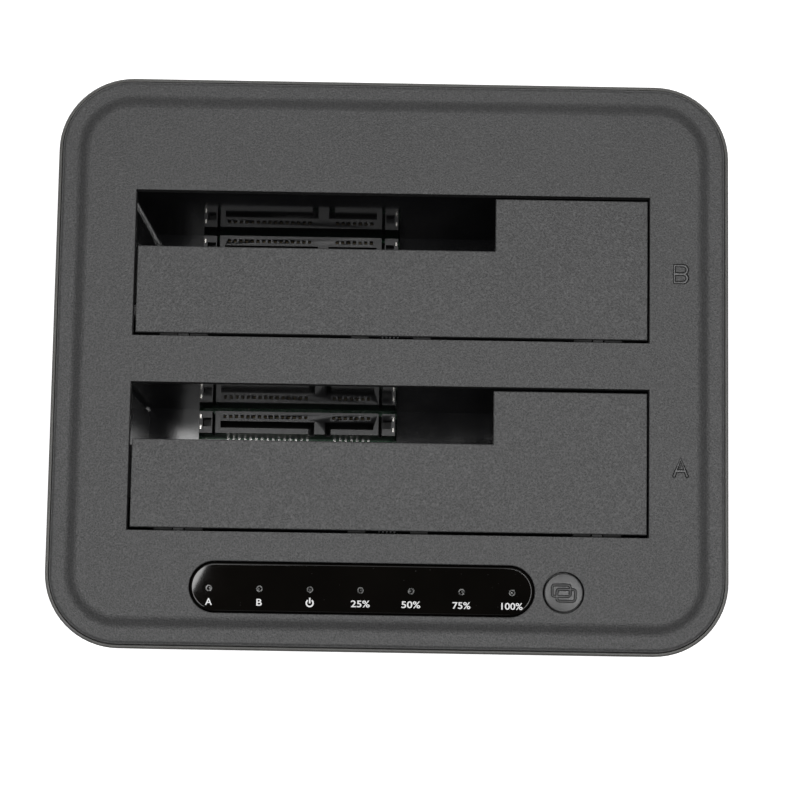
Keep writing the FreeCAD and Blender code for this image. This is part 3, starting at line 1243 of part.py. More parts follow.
def make_power_switch():
    """The power switch: bezel, frame with snap wedges, solder lugs and the rocker on its pivot."""
    piece = new_piece("power_switch")
    wide = "bezel_width / 2"
    tall = "bezel_height / 2"
    prism(piece, "bezel", "XZ", PANEL_Y, BEZEL_Y,
          lambda p: p.rounded("rocker_x - " + wide, "rocker_x + " + wide, "rocker_z - " + tall,
                              "rocker_z + " + tall, "bezel_corner"))
    back = "(%s - frame_depth)" % PANEL_Y
    frame_x = "frame_width / 2"
    frame_z = "frame_height / 2"
    prism(piece, "frame", "XZ", back, PANEL_Y,
          lambda p: p.rect("rocker_x - " + frame_x, "rocker_x + " + frame_x, "rocker_z - " + frame_z,
                           "rocker_z + " + frame_z))
    inner = PANEL_Y + " - shell_wall - snap_gap"

    def wedges(profile):
        for sign in ("-", "+"):
            side = "rocker_x %s %s" % (sign, frame_x)
            profile.loop(((side, inner), ("%s %s snap_rise" % (side, sign), inner),
                          (side, inner + " - snap_length")))

    prism(piece, "snaps", "XY", "rocker_z - snap_width / 2", "rocker_z + snap_width / 2", wedges)
    room_x = "cavity_width / 2"
    room_z = "cavity_height / 2"
    prism(piece, "cavity", "XZ", BEZEL_Y + " - cavity_depth", BEZEL_Y,
          lambda p: p.rect("rocker_x - " + room_x, "rocker_x + " + room_x, "rocker_z - " + room_z,
                           "rocker_z + " + room_z), cut=True)
    reach = room_z + " + pivot_reach + pivot_run"
    discs(piece, "pivot_holes", [("rocker_x", PIVOT_Y)], ease("pivot_dia", "pivot_run"),
          "rocker_z - " + reach.replace("+", "-"), "rocker_z + " + reach, cut=True)
    piece = new_piece("switch_lugs", many=True)

    def lugs(profile):
        for sign in ("-", "+"):
            middle = "rocker_x %s lug_spread" % sign
            profile.rect(middle + " - lug_thick / 2", middle + " + lug_thick / 2",
                         "rocker_z - lug_width / 2", "rocker_z + lug_width / 2")

    prism(piece, "lugs", "XZ", back + " - lug_length", back, lugs)
    piece = new_piece("power_rocker", PIVOT_Y)
    piece.setExpression("Placement.Base.x", bound("rocker_x"))
    piece.setExpression("Placement.Base.z", bound("rocker_z"))
    piece.setExpression("Placement.Rotation.Angle", bound("-rocker_tilt"))
    middle = "(rocker_axis + rocker_proud)"
    rise = "tan(rocker_tilt * 1deg)"
    reach_x = "((sqrt(rocker_radius ^ 2 * (1 + %s ^ 2) - %s ^ 2) - %s * %s) / (1 + %s ^ 2))" % (
        rise, middle, middle, rise, rise)
    reach_y = "(%s + %s * %s)" % (middle, reach_x, rise)
    chord = "sqrt(rocker_radius ^ 2 - rocker_back ^ 2)"
    half = "(cavity_height / 2 - rocker_side)"
    profile = Profile(piece, "side_view", "XY", "-" + half)
    ends = [worth(reach_x), worth(reach_y), worth(chord), worth("rocker_back"), worth("rocker_radius")]
    x1, y1, x2, y2, r = ends
    high = math.degrees(math.atan2(y1, x1))
    low = math.degrees(math.atan2(-y2, x2))
    lines = [
        profile.add(Part.LineSegment(FreeCAD.Vector(x1, y1), FreeCAD.Vector(0, worth(middle)))),
        profile.add(Part.LineSegment(FreeCAD.Vector(0, worth(middle)), FreeCAD.Vector(-x1, y1))),
        profile.arc(0, 0, r, HALF_TURN - high, HALF_TURN - low),
        profile.add(Part.LineSegment(FreeCAD.Vector(-x2, -y2), FreeCAD.Vector(x2, -y2))),
        profile.arc(0, 0, r, low, high),
    ]
    for line, following in zip(lines, lines[1:] + lines[:1]):
        profile.tie("Coincident", line, 2, following, 1)
    profile.place(lines[0], 1, reach_x, reach_y)
    profile.place(lines[1], 1, "0", middle)
    profile.place(lines[1], 2, "-" + reach_x, reach_y)
    profile.place(lines[3], 1, "-" + chord, "-rocker_back")
    profile.place(lines[3], 2, chord, "-rocker_back")
    profile.hold("DistanceX", "0", -1, 1, lines[2], 3)
    profile.hold("DistanceX", "0", -1, 1, lines[4], 3)
    paddle = piece.newObject("PartDesign::Pad", "paddle")
    paddle.Profile = profile.sketch
    paddle.setExpression("Length", bound("2 * " + half))
    stub = "(cavity_height / 2 + pivot_reach)"
    discs(piece, "stubs", [("0", "0")], "pivot_dia", "-" + stub, stub)


def make_feet():
    piece = new_piece("rubber_feet", many=True)
    discs(piece, "discs", spread("foot_x", "foot_y"), "foot_dia", "0", "foot_drop + foot_sunk")
    dress(piece, "Chamfer", "edges", level_at("0"), {"Size": "foot_edge"})


def make_screws(label, places, seat, up, shank, head, rise, length):
    """A set of pan-head screws. up is 1 where they are driven upwards and -1 where downwards."""
    piece = new_piece(label, many=True)
    near_head, far_head = seat, "%s - %s" % (seat, rise)
    tip = "%s + %s" % (seat, length)
    if up < 0:
        near_head, far_head = "%s + %s" % (seat, rise), seat
        tip = "%s - %s" % (seat, length)
    discs(piece, "heads", places, head, far_head, near_head)
    if up < 0:
        discs(piece, "shanks", places, shank, tip, seat)
        face = (near_head + " - cross_deep", near_head)
    else:
        discs(piece, "shanks", places, shank, seat, tip)
        face = (far_head, far_head + " + cross_deep")
    arm = "(%s * cross_arm)" % head

    def crosses(profile):
        for across, down in places:
            w = "cross_width / 2"
            profile.loop((
                (across + " - " + w, down + " - " + arm), (across + " + " + w, down + " - " + arm),
                (across + " + " + w, down + " - " + w), (across + " + " + arm, down + " - " + w),
                (across + " + " + arm, down + " + " + w), (across + " + " + w, down + " + " + w),
                (across + " + " + w, down + " + " + arm), (across + " - " + w, down + " + " + arm),
                (across + " - " + w, down + " + " + w), (across + " - " + arm, down + " + " + w),
                (across + " - " + arm, down + " - " + w), (across + " - " + w, down + " - " + w),
            ))

    prism(piece, "crosses", "XY", *face, crosses, cut=True)


def make_board_parts():
    """The larger parts on the main board."""
    piece = new_piece("board_chips", many=True)

    def chips(profile):
        for x, y, wide, deep in (
            ("chip_x", "chip_y", "chip_side", "chip_side"),
            ("memory_x", "chip_y", "memory_length", "memory_width"),
            ("copy_chip_x", "copy_chip_y", "copy_chip_side", "copy_chip_side"),
        ):
            profile.rect("%s - %s / 2" % (x, wide), "%s + %s / 2" % (x, wide),
                         "%s - %s / 2" % (y, deep), "%s + %s / 2" % (y, deep))

    prism(piece, "chips", "XY", BOARD_Z, BOARD_Z + " + chip_rise", chips)
    piece = new_piece("capacitors", many=True)
    top = BOARD_Z + " + can_rise"
    discs(piece, "cans", [("can_x", "can_y"), ("can_side_x", "can_y")], "can_dia", BOARD_Z, top)
    dress(piece, "Chamfer", "can_edges", level_at(top), {"Size": "can_edge"})
    piece = new_piece("choke")
    half = "choke_side / 2"
    block(piece, "core", "choke_x - " + half, "choke_x + " + half, "choke_y - " + half,
          "choke_y + " + half, BOARD_Z, BOARD_Z + " + choke_rise")


make_body_shell()
make_top_cover()
for letter, bay in (("a", BAY_A_Y), ("b", BAY_B_Y)):
    make_bay_well(letter, bay)
    make_bay_flap(letter, bay)
    make_flap_pin(letter, bay)
    make_flap_spring(letter, bay)
    make_sata_socket(letter, bay)
    make_sata_metal(letter, bay)
make_status_window()
make_light_baffle()
make_front_board()
make_status_lamps()
make_clone_button()
make_clone_switch()
make_main_board()
make_flat_cable()
make_usb_port()
make_power_jack()
make_power_switch()
make_feet()
make_screws("case_screws", POSTS, SEAT_Z, 1, "case_screw_dia", "case_screw_head", "case_screw_rise",
            "case_screw_length")
small = ("small_screw_dia", "small_screw_head", "small_screw_rise", "small_screw_length")
make_screws("well_screws", TAB_SCREWS, "tab_z", 1, *small)
make_screws("front_screws", FRONT_SCREWS, FRONT_UNDER_Z, 1, *small)
make_screws("board_screws", BOARD_SCREWS, BOARD_Z, -1, *small)
make_board_parts()
doc.recompute()

faults = []
for item in doc.Objects:
    if "Invalid" in item.State or "Error" in item.State:
        faults.append("%s failed to compute" % item.Name)
for piece in pieces:
    if piece.Shape.isNull() or not piece.Shape.isValid() or piece.Shape.Volume <= 0:
        faults.append("%s has no sound shape" % piece.Label)
    # A pocket that points the wrong way cuts nothing and says nothing, so volumes are compared.
    for feature in getattr(piece, "Group", []):
        base = getattr(feature, "BaseFeature", None)
        if base is None or feature.TypeId == "PartDesign::LinearPattern":
            continue
        change = feature.Shape.Volume - base.Shape.Volume
        if feature.TypeId == "PartDesign::Pocket" and change >= 0:
            faults.append("%s of %s cuts nothing" % (feature.Label, piece.Label))
        if feature.TypeId in ("PartDesign::Pad", "PartDesign::Revolution") and change <= 0:
            faults.append("%s of %s adds nothing" % (feature.Label, piece.Label))
if faults:
    raise RuntimeError("; ".join(faults))

os.makedirs("parts", exist_ok=True)
for piece in pieces:
    piece.Shape.exportStep("parts/%s.step" % piece.Label)
    print("%-18s solids %2d  volume %9.2f" % (piece.Label, len(piece.Shape.Solids), piece.Shape.Volume))
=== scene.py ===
"""Dual-bay drive duplicator: finishes, markings, small parts and stage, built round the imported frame."""

import json
import math

import bmesh
import bpy
from bpy.props import FloatProperty, FloatVectorProperty, PointerProperty
from mathutils import Euler, Matrix, Vector

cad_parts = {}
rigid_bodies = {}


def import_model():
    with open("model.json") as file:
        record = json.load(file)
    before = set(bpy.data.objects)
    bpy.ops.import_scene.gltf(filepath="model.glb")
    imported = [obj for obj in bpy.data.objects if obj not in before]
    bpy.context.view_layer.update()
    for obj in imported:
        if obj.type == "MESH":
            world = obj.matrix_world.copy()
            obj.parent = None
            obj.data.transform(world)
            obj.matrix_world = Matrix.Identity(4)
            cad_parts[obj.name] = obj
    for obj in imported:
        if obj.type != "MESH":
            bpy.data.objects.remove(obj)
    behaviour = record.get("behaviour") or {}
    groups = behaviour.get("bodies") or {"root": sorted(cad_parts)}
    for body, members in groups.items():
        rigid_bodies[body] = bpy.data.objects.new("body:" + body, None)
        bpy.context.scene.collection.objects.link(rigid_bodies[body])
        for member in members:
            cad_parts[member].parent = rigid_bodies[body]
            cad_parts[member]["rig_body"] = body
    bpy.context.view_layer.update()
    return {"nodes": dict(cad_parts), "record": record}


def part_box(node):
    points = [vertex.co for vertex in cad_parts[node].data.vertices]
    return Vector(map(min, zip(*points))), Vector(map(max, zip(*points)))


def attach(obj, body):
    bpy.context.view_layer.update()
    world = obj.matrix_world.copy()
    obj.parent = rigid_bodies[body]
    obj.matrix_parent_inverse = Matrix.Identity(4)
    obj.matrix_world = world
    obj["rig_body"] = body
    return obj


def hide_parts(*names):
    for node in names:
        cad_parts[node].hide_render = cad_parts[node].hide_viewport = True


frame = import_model()

bl_info = {
    "name": "Drive Duplicator",
    "version": (1, 0, 0),
    "blender": (4, 5, 0),
    "location": "View3D > Sidebar > Duplicator",
    "description": "Gives a dual-bay drive duplicator its finishes, markings and small parts",
    "category": "Add Mesh",
}

MM = 0.001
HAIR = 0.01 * MM  # how far ink or a lens stands proud of what carries it


# ---------------------------------------------------------------------------------------------
# Sizes and colours a user would change


def length(name, description, millimetres):
    """A length that a user can change."""
    return FloatProperty(
        name=name, description=description, default=millimetres * MM, min=0.0,
        unit="LENGTH", subtype="DISTANCE",
    )


def colour(name, description, red, green, blue):
    """A colour that a user can change."""
    return FloatVectorProperty(
        name=name, description=description, default=(red, green, blue), min=0.0, max=1.0,
        subtype="COLOR",
    )


class DuplicatorSizes(bpy.types.PropertyGroup):
    """Sizes of the details that are added to the frame"""

    cover_edge: length("Cover edge", "Rounding of the openings in the top cover", 0.14)
    crest_round: length("Crest rounding", "Width of the soft edge of the raised plateau", 0.6)
    shell_edge: length("Shell edge", "Rounding of the lower shell's lip", 0.16)
    flap_edge: length("Flap edge", "Rounding of the edges of the two bay flaps", 0.16)
    window_edge: length("Window edge", "Rounding of the indicator window's facet", 0.14)
    bay_letter: length("Bay letter", "Height of the letters beside the bays, along their middle line", 3.45)
    letter_groove: length("Letter groove", "Width of the groove that a bay letter stands in", 0.8)
    letter_bead: length("Letter bead", "Width of the raised line of a bay letter", 0.4)
    icon_groove: length("Icon groove", "Width of the groove round the icon on the button", 0.54)
    icon_bead: length("Icon bead", "Width of the raised line of the icon on the button", 0.28)
    label: length("Label height", "Height of the printed labels on the window", 1.35)
    lamp_eye: length("Lamp eye", "Diameter of the light spots in the window", 1.28)
    lamp_pitch: length("Lamp pitch", "Distance between two light spots", 10.02)
    grain: length("Grain", "Size of the grain moulded into the cover", 0.26)


class DuplicatorColours(bpy.types.PropertyGroup):
    """Base colours of the finishes"""

    cover: colour("Cover", "Charcoal of the top cover and flaps", 0.049, 0.049, 0.0495)
    shell: colour("Shell", "Warm grey of the lower shell", 0.050, 0.049, 0.044)
    well: colour("Well", "Black of the drive wells", 0.012, 0.012, 0.013)
    window: colour("Window", "Smoked black of the indicator window", 0.0022, 0.0018, 0.0014)
    ink: colour("Ink", "White of the printed labels", 0.86, 0.86, 0.86)
    laminate: colour("Board", "Green of the circuit boards", 0.02, 0.08, 0.038)
    gold: colour("Contacts", "Plating of the drive contacts", 0.80, 0.58, 0.27)
    port: colour("Port", "Blue tongue of the data port", 0.02, 0.12, 0.48)


# ---------------------------------------------------------------------------------------------
# Finishes


class Wire:
    """An output socket that adds a Math node when it is used in arithmetic."""

    def __init__(self, finish, socket):
        self.finish = finish
        self.socket = socket

    def math(self, operation, *values):
        inputs = dict(enumerate(values))
        return self.finish.add("ShaderNodeMath", {"operation": operation}, inputs)[0]

    def __add__(self, other):
        return self.math("ADD", self, other)

    __radd__ = __add__

    def __sub__(self, other):
        return self.math("SUBTRACT", self, other)

    def __rsub__(self, other):
        return self.math("SUBTRACT", other, self)

    def __mul__(self, other):
        return self.math("MULTIPLY", self, other)

    __rmul__ = __mul__


class Finish:
    """A material under construction."""

    def __init__(self, name):
        self.material = bpy.data.materials.new(name)
        self.material.use_nodes = True
        self.tree = self.material.node_tree
        self.tree.nodes.clear()
        self.place = self.add("ShaderNodeTexCoord")[3]

    def add(self, kind, settings=None, inputs=None):
        """Adds a node, sets it up, fills its sockets with values or wires and returns its outputs."""
        node = self.tree.nodes.new(kind)
        for key, value in (settings or {}).items():
            setattr(node, key, value)
        for key, value in (inputs or {}).items():
            if isinstance(value, Wire):
                self.tree.links.new(value.socket, node.inputs[key])
            else:
                node.inputs[key].default_value = value
        return [Wire(self, socket) for socket in node.outputs]

    def noise(self, size, detail=2.0, rough=0.5, stretch=(1.0, 1.0, 1.0)):
        """Cloudy pattern from 0 to 1 whose features are about size across."""
        place = self.add("ShaderNodeMapping", None, {"Vector": self.place, "Scale": stretch})[0]
        values = {"Vector": place, "Scale": 1.0 / size, "Detail": detail, "Roughness": rough}
        return self.add("ShaderNodeTexNoise", None, values)[0]

    def cells(self, size, feature="F1"):
        """Distance inside cells that are about size across."""
        values = {"Vector": self.place, "Scale": 1.0 / size}
        return self.add("ShaderNodeTexVoronoi", {"feature": feature}, values)[0]

    def spread(self, wire, low, high, start=0.0, end=1.0):
        """Maps low..high to start..end."""
        values = {0: wire, 1: low, 2: high, 3: start, 4: end}
        return self.add("ShaderNodeMapRange", {"clamp": True}, values)[0]

    def blend(self, factor, first, second):
        """Mixes two colours."""
        values = {0: factor, 6: as_colour(first), 7: as_colour(second)}
        return self.add("ShaderNodeMix", {"data_type": "RGBA"}, values)[2]

    def close(self, bump=None, distance=0.05 * MM, strength=1.0, **sockets):
        """Ends the material in one Principled shader."""
        inputs = {key.replace("_", " "): value for key, value in sockets.items()}
        if bump is not None:
            values = {"Strength": strength, "Distance": distance, "Height": bump}
            inputs["Normal"] = self.add("ShaderNodeBump", None, values)[0]
        shader = self.add("ShaderNodeBsdfPrincipled", None, inputs)[0]
        self.add("ShaderNodeOutputMaterial", None, {"Surface": shader})
        return self.material


def as_colour(value):
    """A Mix node's colour socket takes four numbers."""
    if isinstance(value, Wire):
        return value
    return (*value[:3], 1.0)


def shade(value, factor):
    """A colour made lighter or darker."""
    return tuple(min(1.0, part * factor) for part in value[:3])


def moulded(name, base, grain, depth, rough, contrast=0.3):
    """Textured plastic: spark-eroded grain whose colour is lighter on its tips and darker in its valleys,
    painted highlight and painted shade, mixed with a random cloudy tone.
    """
    finish = Finish(name)
    fine = finish.noise(grain, 3.0, 0.6)
    pits = finish.cells(grain * 1.3, "SMOOTH_F1")
    cloud = finish.noise(18.0 * MM, 3.0, 0.55)
    relief = fine * 0.7 + pits * 0.5
    tips = finish.spread(relief, 0.35, 0.85)
    # colour follows the grain's relief: painted highlight on the tips, painted shade in the valleys
    tone = finish.spread(tips * 0.8 + cloud * 0.2, 0.0, 1.0)
    surface = finish.blend(tone, shade(base, 1.0 - contrast), shade(base, 1.0 + contrast))
    roughness = finish.spread(tips, 0.0, 1.0, rough + 0.08, rough - 0.1)
    return finish.close(relief, depth, 1.0, Base_Color=surface, Roughness=roughness)


def polished(name, base, rough, scratch=0.35, along=(1.0, 1.0, 0.03)):
    """Glossy plastic with fine rubbing marks and a little dust."""
    finish = Finish(name)
    marks = finish.noise(0.5 * MM, 4.0, 0.7, along)
    smear = finish.noise(9.0 * MM, 3.0, 0.6)
    dust = finish.spread(finish.noise(0.35 * MM, 1.0, 0.4), 0.74, 0.8)
    surface = finish.blend(dust * 0.35, base, shade(base, 6.0))
    roughness = finish.spread(marks * scratch + smear * (1.0 - scratch), 0.3, 0.75, rough, rough * 2.2)
    return finish.close(marks, 0.004 * MM, 0.6, Base_Color=surface, Roughness=roughness)


def metal(name, base, rough, grain=0.6, along=(1.0, 1.0, 0.1), tarnish=0.8):
    """Plated or drawn metal: brushed along one direction, with a grain in mm, and tarnished in clouds."""
    finish = Finish(name)
    brushed = finish.noise(grain * MM, 4.0, 0.65, along)
    cloud = finish.noise(4.0 * MM, 3.0, 0.6)
    surface = finish.blend(finish.spread(cloud, 0.3, 0.7), shade(base, tarnish), base)
    roughness = finish.spread(brushed, 0.25, 0.8, rough * 0.7, rough * 1.4)
    return finish.close(brushed, 0.006 * MM, 0.7, Base_Color=surface, Roughness=roughness, Metallic=1.0)


def window_finish(base):
    """Smoked acrylic: near black, mirror smooth, with faint handling marks."""
    finish = Finish("smoked_acrylic")
    smear = finish.noise(14.0 * MM, 3.0, 0.6)
    specks = finish.spread(finish.noise(0.4 * MM, 1.0, 0.4), 0.8, 0.84)
    tone = finish.blend(finish.spread(smear, 0.35, 0.7), base, shade(base, 1.5))
    surface = finish.blend(specks * 0.12, tone, (0.3, 0.3, 0.3))
    roughness = finish.spread(smear, 0.3, 0.8, 0.012, 0.03)
    return finish.close(smear, 0.002 * MM, 0.3, Base_Color=surface, Roughness=roughness, IOR=1.49)


def laminate_finish(base):
    """Solder-masked board: copper tracks and pads under a green lacquer."""
    finish = Finish("green_laminate")
    weave = finish.noise(0.5 * MM, 2.0, 0.5)
    brick = finish.add(
        "ShaderNodeTexBrick",
        {"offset": 0.35},
        {
            "Vector": finish.place,
            "Scale": 160.0,
            "Color1": (0.0, 0.0, 0.0, 1.0),
            "Color2": (0.0, 0.0, 0.0, 1.0),
            "Mortar": (1.0, 1.0, 1.0, 1.0),
            "Mortar Size": 0.016,
            "Mortar Smooth": 0.2,
            "Brick Width": 0.9,
            "Row Height": 0.22,
        },
    )[1]
    spots = 1.0 - finish.spread(finish.cells(2.3 * MM), 0.1, 0.13)
    copper = finish.blend(brick * 0.8, base, shade(base, 1.9))
    surface = finish.blend(spots * 0.5, copper, (0.33, 0.34, 0.28))
    roughness = finish.spread(weave, 0.3, 0.7, 0.22, 0.34)
    return finish.close(brick + spots, 0.03 * MM, 0.7, Base_Color=surface, Roughness=roughness)


def rubber_finish():
    """Soft dull rubber with a dusting of fine specks."""
    finish = Finish("foot_rubber")
    fine = finish.noise(0.25 * MM, 3.0, 0.6)
    dust = finish.spread(finish.noise(3.0 * MM, 4.0, 0.7), 0.4, 0.75)
    surface = finish.blend(dust * 0.5, (0.018, 0.018, 0.018), (0.05, 0.048, 0.045))
    roughness = finish.spread(fine, 0.3, 0.7, 0.68, 0.85)
    return finish.close(fine, 0.03 * MM, 0.8, Base_Color=surface, Roughness=roughness)


def resin_finish():
    """Clear lamp resin, milky from the phosphor inside."""
    finish = Finish("lamp_resin")
    milk = finish.noise(0.8 * MM, 2.0, 0.5)
    surface = finish.blend(milk, (0.62, 0.62, 0.56), (0.82, 0.82, 0.78))
    roughness = finish.spread(milk, 0.3, 0.7, 0.12, 0.2)
    return finish.close(milk, 0.01 * MM, 0.4, Base_Color=surface, Roughness=roughness, Coat_Weight=0.6)


def ribbon_finish():
    """Flat grey cable with the ridges of its separate wires."""
    finish = Finish("ribbon_grey")
    ridges = finish.add(
        "ShaderNodeTexWave", {"bands_direction": "X"}, {"Vector": finish.place, "Scale": 250.0}
    )[1]
    cloud = finish.noise(2.0 * MM, 3.0, 0.5)
    # colour follows the ridges: painted highlight on the wires, painted shade between them, mixed with a
    # random cloudy tone
    surface = finish.blend(ridges * 0.6 + cloud * 0.4, (0.16, 0.165, 0.17), (0.33, 0.335, 0.34))
    roughness = finish.spread(cloud, 0.3, 0.7, 0.4, 0.55)
    return finish.close(ridges, 0.12 * MM, 0.8, Base_Color=surface, Roughness=roughness)


def ink_finish(base):
    """Screen-printed white with slightly uneven cover."""
    finish = Finish("label_ink")
    cover = finish.noise(0.12 * MM, 2.0, 0.5)
    surface = finish.blend(finish.spread(cover, 0.3, 0.7), shade(base, 0.82), base)
    roughness = finish.spread(cover, 0.3, 0.7, 0.35, 0.5)
    return finish.close(cover, 0.004 * MM, 0.5, Base_Color=surface, Roughness=roughness)


def eye_finish():
    """Light spot behind the window: dim and broken by the specks of the resin."""
    finish = Finish("lamp_eye")
    die = finish.cells(0.42 * MM)
    speck = finish.noise(0.55 * MM, 3.0, 0.7)
    bright = finish.spread(die * 0.4 + speck, 0.62, 0.92)
    surface = finish.blend(bright, (0.006, 0.006, 0.006), (0.16, 0.16, 0.155))
    roughness = finish.spread(speck, 0.3, 0.7, 0.15, 0.3)
    return finish.close(die, 0.02 * MM, 0.6, Base_Color=surface, Roughness=roughness)


def floor_finish():
    """Seamless white paper."""
    finish = Finish("paper")
    fibre = finish.noise(1.5 * MM, 3.0, 0.6)
    surface = finish.blend(fibre, (0.8, 0.8, 0.8), (0.84, 0.84, 0.84))
    roughness = finish.spread(fibre, 0.2, 0.8, 0.75, 0.9)
    return finish.close(
        fibre, 0.01 * MM, 0.2, Base_Color=surface, Roughness=roughness,
        Emission_Color=surface, Emission_Strength=0.95,
    )


# The finishes, under the slot names of the record and a few names of their own
FINISHES = {}
SLOTS = {part["node"]: part["material_slot"] for part in frame["record"]["subparts"]}


def make_finishes(colours, sizes):
    """Makes every finish once."""
    grain = sizes.grain
    satin = (0.014, 0.014, 0.014)
    nylon = (0.02, 0.02, 0.021)
    FINISHES.update(
        cover_plastic=moulded("charcoal_grain", colours.cover, grain, 0.11 * MM, 0.5, 0.6),
        shell_plastic=moulded("shell_grain", colours.shell, 0.8 * grain, 0.03 * MM, 0.42, 0.2),
        well_plastic=polished("well_gloss", colours.well, 0.04),
        window_plastic=window_finish(colours.window),
        black_plastic=moulded("black_satin", satin, 0.3 * MM, 0.02 * MM, 0.38, 0.2),
        connector_plastic=moulded("connector_nylon", nylon, 0.25 * MM, 0.015 * MM, 0.36, 0.25),
        contact_metal=metal("contact_gold", colours.gold, 0.24),
        plated_metal=metal("nickel_plate", (0.66, 0.64, 0.60), 0.26, 0.5, (0.08, 1.0, 1.0)),
        steel=metal("zinc_steel", (0.55, 0.56, 0.57), 0.34, 0.35, (1.0, 1.0, 0.4), 0.7),
        board_laminate=laminate_finish(colours.laminate),
        lamp_resin=resin_finish(),
        cable_grey=ribbon_finish(),
        port_blue=moulded("port_blue", colours.port, 0.25 * MM, 0.01 * MM, 0.34, 0.15),
        foot_rubber=rubber_finish(),
        chip_resin=moulded("chip_epoxy", nylon, 0.18 * MM, 0.015 * MM, 0.55, 0.3),
        capacitor_can=metal("can_sleeve", (0.5, 0.52, 0.55), 0.3, 0.3, (1.0, 1.0, 0.15)),
        # the bay letters' raised line: the cover colour made three times lighter, a painted highlight
        raised_line=moulded("raised_line", shade(colours.cover, 3.0), grain, 0.02 * MM, 0.36, 0.2),
        # the icon's raised line: the cover colour made twice as light, a painted highlight
        icon_line=moulded("icon_line", shade(colours.cover, 2.0), grain, 0.01 * MM, 0.36, 0.15),
        well_floor=polished("well_floor", colours.well, 0.09),
        # near black: painted shade on the flaps' insides and the wells' hinge ears, which are cover and
        # well plastic
        inner_plastic=moulded("inner_plastic", (0.009, 0.009, 0.009), grain, 0.04 * MM, 0.62, 0.2),
        # near black: painted shade inside the connector's chambers
        cavity=moulded("connector_cavity", (0.002, 0.002, 0.002), 0.25 * MM, 0.01 * MM, 0.5, 0.3),
        # the contacts' gold made near black: painted shade inside the chambers
        chamber_metal=metal("chamber_metal", (0.05, 0.04, 0.025), 0.5),
        solder=metal("solder", (0.75, 0.75, 0.72), 0.22, 0.3, (1.0, 1.0, 1.0), 0.7),
        dark_steel=metal("dark_steel", (0.03, 0.03, 0.032), 0.4, 0.35, (0.1, 1.0, 1.0), 0.7),
        button_satin=moulded(
            "button_satin", shade(colours.cover, 1.05), 0.3 * grain, 0.012 * MM, 0.36, 0.15
        ),
        label_ink=ink_finish(colours.ink),
        lamp_eye=eye_finish(),
    )


# ---------------------------------------------------------------------------------------------
# Mesh helpers


def slot_of(node):
    """The record's material slot of a CAD node."""
    return SLOTS[node]


def body_of(node):
    """The body a CAD node rides on."""
    return frame["nodes"][node]["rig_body"]


def piece_from(name, bm, finish, body):
    """Turns a bmesh into a finished object that rides a body."""
    mesh = bpy.data.meshes.new(name)
    bm.to_mesh(mesh)
    bm.free()
    return settle(name, mesh, finish, body)


def settle(name, mesh, finish, body):
    """Links a mesh as an object with its finish, body and slot."""
    mesh.materials.clear()
    mesh.materials.append(finish)
    piece = bpy.data.objects.new(name, mesh)
    bpy.context.scene.collection.objects.link(piece)
    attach(piece, body)
    return piece


def soften(piece, angle=32.0):
    """Smooth shading between faces that meet at less than the angle, flat faces kept flat."""
    mesh = piece.data
    mesh.polygons.foreach_set("use_smooth", [True] * len(mesh.polygons))
    mesh.set_sharp_from_angle(angle=math.radians(angle))
    weighted = piece.modifiers.new("weighted_normals", "WEIGHTED_NORMAL")
    weighted.keep_sharp = True
    return piece


def copy_of(node, cuts=()):
    """A CAD node's mesh as a bmesh with its points merged and its flat faces joined.

    cuts are places along X where flat faces stay divided, so that no face runs round a hole.
    """
    bm = bmesh.new()
    bm.from_mesh(frame["nodes"][node].data)
    bmesh.ops.remove_doubles(bm, verts=bm.verts[:], dist=0.002 * MM)
    for x in cuts:
        whole = bm.verts[:] + bm.edges[:] + bm.faces[:]
        cut = bmesh.ops.bisect_plane(
            bm, geom=whole, dist=0.001 * MM, plane_co=(x, 0.0, 0.0), plane_no=(1.0, 0.0, 0.0)
        )
        for part in cut["geom_cut"]:
            if isinstance(part, bmesh.types.BMEdge):
                part.seam = True
    bmesh.ops.dissolve_limit(
        bm, angle_limit=math.radians(0.3), verts=bm.verts[:], edges=bm.edges[:], delimit={"SEAM"}
    )
    return bm


def edges_between(bm, low, high, level=None, accept=None):
    """Edges whose faces meet at low..high degrees, at one height and where accept says so."""
    found = []
    for edge in bm.edges:
        if not edge.is_manifold:
            continue
        turn = math.degrees(edge.calc_face_angle(0.0))
        if not low < turn < high:
            continue
        if level is not None and any(abs(v.co.z - level) > 0.01 * MM for v in edge.verts):
            continue
        if accept is not None and not all(accept(v.co) for v in edge.verts):
            continue
        found.append(edge)
    return found


def round_edges(bm, edges, width, segments=2):
    """Bevels chosen edges."""
    bmesh.ops.bevel(
        bm, geom=edges, offset=width, offset_type="OFFSET", segments=segments, profile=0.5,
        affect="EDGES", clamp_overlap=False, material=-1,
    )


def cut_by(piece, tool, operation="DIFFERENCE"):
    """Applies one boolean of a tool mesh to a piece and removes the tool."""
    change = piece.modifiers.new("cut", "BOOLEAN")
    change.operation = operation
    change.solver = "EXACT"
    change.use_self = True
    change.object = tool
    bpy.context.view_layer.update()
    graph = bpy.context.evaluated_depsgraph_get()
    mesh = bpy.data.meshes.new_from_object(piece.evaluated_get(graph))
    piece.modifiers.remove(change)
    piece.data = mesh
    bpy.data.objects.remove(tool)
    return piece


def loose_object(name, mesh):
    """A helper object that is not part of the model."""
    tool = bpy.data.objects.new(name, mesh)
    bpy.context.scene.collection.objects.link(tool)
    return tool


